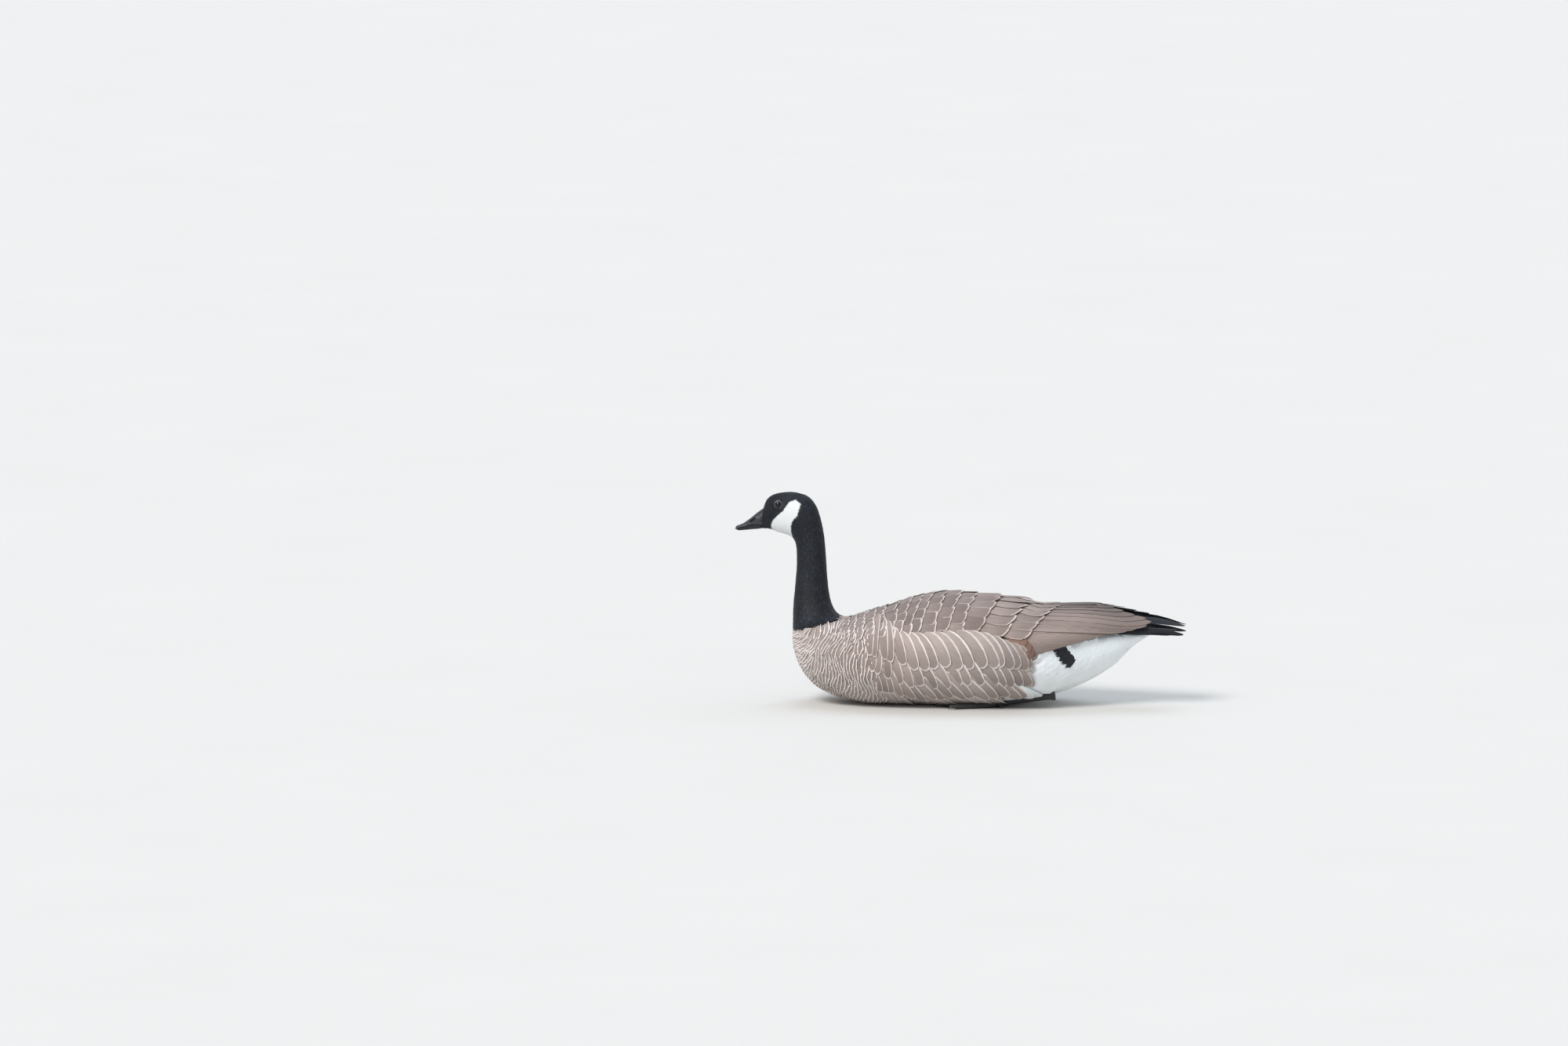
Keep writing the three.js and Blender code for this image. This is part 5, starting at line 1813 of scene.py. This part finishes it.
def limb(points, radii, sides=28, rows=72, knuckles=(), flatten=1.0):
    """A closed limb through points (millimetres), with swellings at shares given by knuckles."""
    spine, size = np.array(points, float), np.array(radii, float)
    at = np.linspace(0, 1, len(spine))
    through = curve_through([(t, *p, r) for t, p, r in zip(at, spine, size)], scale=MM, step_scale=1)

    def place(u, v):
        middle = through(v)
        ahead = unit(through(np.clip(v + 0.01, 0, 1))[:, :3] - through(np.clip(v - 0.01, 0, 1))[:, :3])
        side = unit(np.cross(ahead, [0, 0, 1]))
        up = np.cross(side, ahead)
        swell = 1 + sum(0.14 * np.exp(-(((v - share) / 0.05) ** 2)) for share in knuckles)
        round_end = np.sqrt(np.clip(1 - (np.abs(v * 2 - 1)) ** 40, 0.002, 1))
        reach = (middle[:, 3] * swell * round_end)[:, None]
        turn = 2 * math.pi * u[:, None]
        return middle[:, :3] + reach * (side * np.cos(turn) + up * np.sin(turn) * flatten)

    return bent_grid(sides, rows, place)


def toe_spot(side, size, spread, share):
    """A place on a toe's middle line in millimetres, which comes down to the floor from the joint."""
    angle = math.radians(spread)
    reach = size * share
    x, y, z = TOE_JOINT
    low = z + (TOE_HEIGHT - z) * min(1, share * 3)
    return (x - reach * math.cos(angle), side * (y + reach * math.sin(angle)), low)


def foot_finish(name, tint, cell):
    """Scaly skin or horn with recessed creases between cells, darkened as painted shade."""
    finish = Finish(name)
    place = finish.place()
    grain = finish.noise(finish.scaled(place, (500, 500, 500)), detail=3.0)
    # Painted shade darkens the creases between cells.
    crease = finish.cells(place, cell).over(0.0, 0.12)
    finish.set(
        Base_Color=finish.shade(tuple(tint)[:3], (0.6 + crease * 0.5) * (0.8 + grain * 0.4)),
        Roughness=0.42 + grain * 0.2,
    )
    finish.bump(crease + grain * 0.3, 0.4 * MM, 0.6)
    return finish.material


class GOOSE_OT_feet(bpy.types.Operator):
    """Scaly legs, webbed feet and claws tucked under the belly"""

    bl_idname = "goose.feet"
    bl_label = "Feet"

    def execute(self, context):
        settings = context.scene.goose_foot
        scaly = foot_finish("leg scutes", settings.web, 320)
        web_skin = foot_finish("web skin", settings.web, 700)
        horn = foot_finish("claw horn", settings.claw, 150)
        for side, label in ((-1, "left"), (1, "right")):
            pieces = (
                ("leg_scutes_", [self.shank(side)], scaly, "leg_"),
                ("toes_", self.toes(side), scaly, "foot_"),
                ("claws_", self.claws(side), horn, "foot_"),
            )
            for name, forms, material, node in pieces:
                mesh = mesh_from(forms, name + label)
                self.press(mesh)
                finished(name + label, mesh, material, "foot_skin", node + label)
            mesh = mesh_from([self.web(side, i) for i in range(2)], "webs_" + label)
            finished("webs_" + label, mesh, web_skin, "foot_skin", "foot_" + label)
        return {"FINISHED"}

    @staticmethod
    def shank(side):
        """The leg from the heel to the joint of the toes."""
        heel, joint = np.array(HEEL) * [1, side, 1], np.array(TOE_JOINT) * [1, side, 1]
        spine = [heel + (joint - heel) * share for share in (0, 0.22, 0.75, 1)]
        return limb(spine, [7.4, 5.3, 5.1, 6.8], knuckles=(0.04, 0.97))

    @staticmethod
    def toes(side):
        """Three toes ahead and the short one behind."""
        forms = []
        for size, spread, radius in TOES:
            spine = [toe_spot(side, size, spread, share) for share in (0.02, 0.35, 0.7, 0.94, 1)]
            radii = [radius * taper for taper in (1.2, 0.98, 0.88, 0.82, 0.5)]
            knuckles = (0.3, 0.62, 0.9) if size > 75 else (0.4, 0.85)
            forms.append(limb(spine, radii, knuckles=knuckles))
        joint = np.array(TOE_JOINT) * [1, side, 1]
        hind = [joint, joint + np.array([5.4, side * 9.6, -2.7]), joint + np.array([9, side * 16, -4.5])]
        return [*forms, limb(hind, [4, 3, 0.9])]

    @staticmethod
    def claws(side):
        """A curved claw on each of the toes ahead."""
        forms = []
        for size, spread, radius in TOES:
            shares = (0.955, 1 + 0.5 * CLAW_LENGTH / size, 1 + CLAW_LENGTH / size)
            heights = (4.4, 4.6, 1.3)
            spine = [
                (*toe_spot(side, size, spread, share)[:2], height) for share, height in zip(shares, heights)
            ]
            forms.append(limb(spine, [radius * 0.55, radius * 0.42, 0.5], sides=20, rows=30))
        return forms

    @staticmethod
    def press(mesh):
        """Flattens what would sink into the floor."""
        places = places_of(mesh)
        places[:, 2] = np.maximum(places[:, 2], 0.1 * MM + 0.02 * (places[:, 2] - 0.1 * MM))
        move_to(mesh, places)

    @staticmethod
    def web(side, first):
        """Thin skin between two toes, hollow at its front edge."""

        def place(u, v):
            loop = 2 * math.pi * u
            across = (1 - np.cos(loop)) / 2
            top = np.sin(loop)
            (size_a, spread_a, _), (size_b, spread_b, _) = TOES[first], TOES[first + 1]
            hollow = 1 - 0.22 * np.sin(math.pi * across)
            reach = (size_a + (size_b - size_a) * across) * 0.93 * hollow * (0.04 + 0.96 * v)
            angle = np.radians(spread_a + (spread_b - spread_a) * across)
            sag = np.sin(math.pi * across) * smoothstep(v, 0.05, 0.5)
            thick = 0.55 * np.sign(top) * np.abs(top) ** 0.3
            z = 3.0 - 0.9 * sag + thick + 0.15 * np.sin(9 * v + 2 * across) * sag
            x = TOE_JOINT[0] - reach * np.cos(angle)
            return np.stack([x, side * (TOE_JOINT[1] + reach * np.sin(angle)), z], axis=-1) * MM

        return bent_grid(60, 60, place)


# Stage


AIM = (-0.271, 0, 0.274)
SKY_TINT, SKY_STRENGTH = (0.95, 0.97, 1.0, 1.0), 0.68
# Lights: name, the way to their source, strength, softness in degrees, colour.
LIGHTS = [
    ("key light", (-0.55, -1.0, 1.15), 2.3, 24, (1.0, 0.985, 0.975)),
    ("sky light", (0.1, 0.75, 1.6), 0.9, 40, (0.66, 0.82, 1.0)),
]


class GOOSE_OT_stage(bpy.types.Operator):
    """Pale floor, soft lights and the camera"""

    bl_idname = "goose.stage"
    bl_label = "Stage"

    def execute(self, context):
        settings = context.scene.goose_stage
        floor = bmesh.new()
        bmesh.ops.create_circle(floor, cap_ends=True, segments=96, radius=60)
        ground = object_from(mesh_from([floor], "floor"), "floor")
        finish = Finish("pale floor", Roughness=0.7)
        grain = finish.noise(finish.place(), scale=3.0, detail=3.0)
        finish.set(Base_Color=finish.shade(tuple(settings.floor)[:3], 0.98 + grain * 0.04))
        ground.data.materials.append(finish.material)
        for light in LIGHTS:
            self.sun(*light)
        world = bpy.data.worlds.new("studio")
        world.use_nodes = True
        sky = world.node_tree.nodes["Background"]
        sky.inputs["Color"].default_value = SKY_TINT
        sky.inputs["Strength"].default_value = SKY_STRENGTH
        context.scene.world = world
        context.scene.view_settings.view_transform = "Standard"
        data = bpy.data.cameras.new("camera")
        data.lens, data.sensor_width, data.clip_end = settings.lens, 36.0, 200.0
        camera = bpy.data.objects.new("camera", data)
        context.scene.collection.objects.link(camera)
        flat = math.cos(settings.elevation)
        x, y = math.sin(settings.azimuth) * flat, -math.cos(settings.azimuth) * flat
        back = Vector((x, y, math.sin(settings.elevation)))
        camera.location = Vector(AIM) + back * settings.distance
        camera.rotation_euler = back.to_track_quat("Z", "Y").to_euler()
        context.scene.camera = camera
        return {"FINISHED"}

    @staticmethod
    def sun(name, source, strength, softness, tint):
        """A soft distant light, so that the whole floor is lit alike."""
        data = bpy.data.lights.new(name, "SUN")
        data.energy, data.angle, data.color = strength, math.radians(softness), tint
        lamp = bpy.data.objects.new(name, data)
        lamp.location = source
        lamp.rotation_euler = Vector(source).to_track_quat("Z", "Y").to_euler()
        bpy.context.scene.collection.objects.link(lamp)


class GOOSE_PT_panel(bpy.types.Panel):
    """Sizes, colours and the pieces of the goose"""

    bl_idname = "GOOSE_PT_panel"
    bl_label = "Goose"
    bl_space_type = "VIEW_3D"
    bl_region_type = "UI"
    bl_category = "Goose"

    def draw(self, context):
        for group in GROUPS:
            box = self.layout.box()
            settings = getattr(context.scene, "goose_" + group)
            for name in settings.__annotations__:
                box.prop(settings, name)
        for maker in MAKERS:
            self.layout.operator(maker.bl_idname)


GROUPS = {
    "plumage": PlumageSettings,
    "bill": BillSettings,
    "eye": EyeSettings,
    "foot": FootSettings,
    "stage": StageSettings,
}
MAKERS = [
    GOOSE_OT_stage,
    GOOSE_OT_skin,
    GOOSE_OT_bill,
    GOOSE_OT_eyes,
    GOOSE_OT_head_coat,
    GOOSE_OT_body_coat,
    GOOSE_OT_back_coat,
    GOOSE_OT_wings,
    GOOSE_OT_tail,
    GOOSE_OT_feet,
]


def register():
    for group, kind in GROUPS.items():
        bpy.utils.register_class(kind)
        setattr(bpy.types.Scene, "goose_" + group, bpy.props.PointerProperty(type=kind))
    for kind in [*MAKERS, GOOSE_PT_panel]:
        bpy.utils.register_class(kind)


def unregister():
    for kind in [GOOSE_PT_panel, *reversed(MAKERS)]:
        bpy.utils.unregister_class(kind)
    for group, kind in GROUPS.items():
        delattr(bpy.types.Scene, "goose_" + group)
        bpy.utils.unregister_class(kind)


def main():
    register()
    for maker in MAKERS:
        family, name = maker.bl_idname.split(".")
        getattr(getattr(bpy.ops, family), name)()


if __name__ == "__main__":
    main()
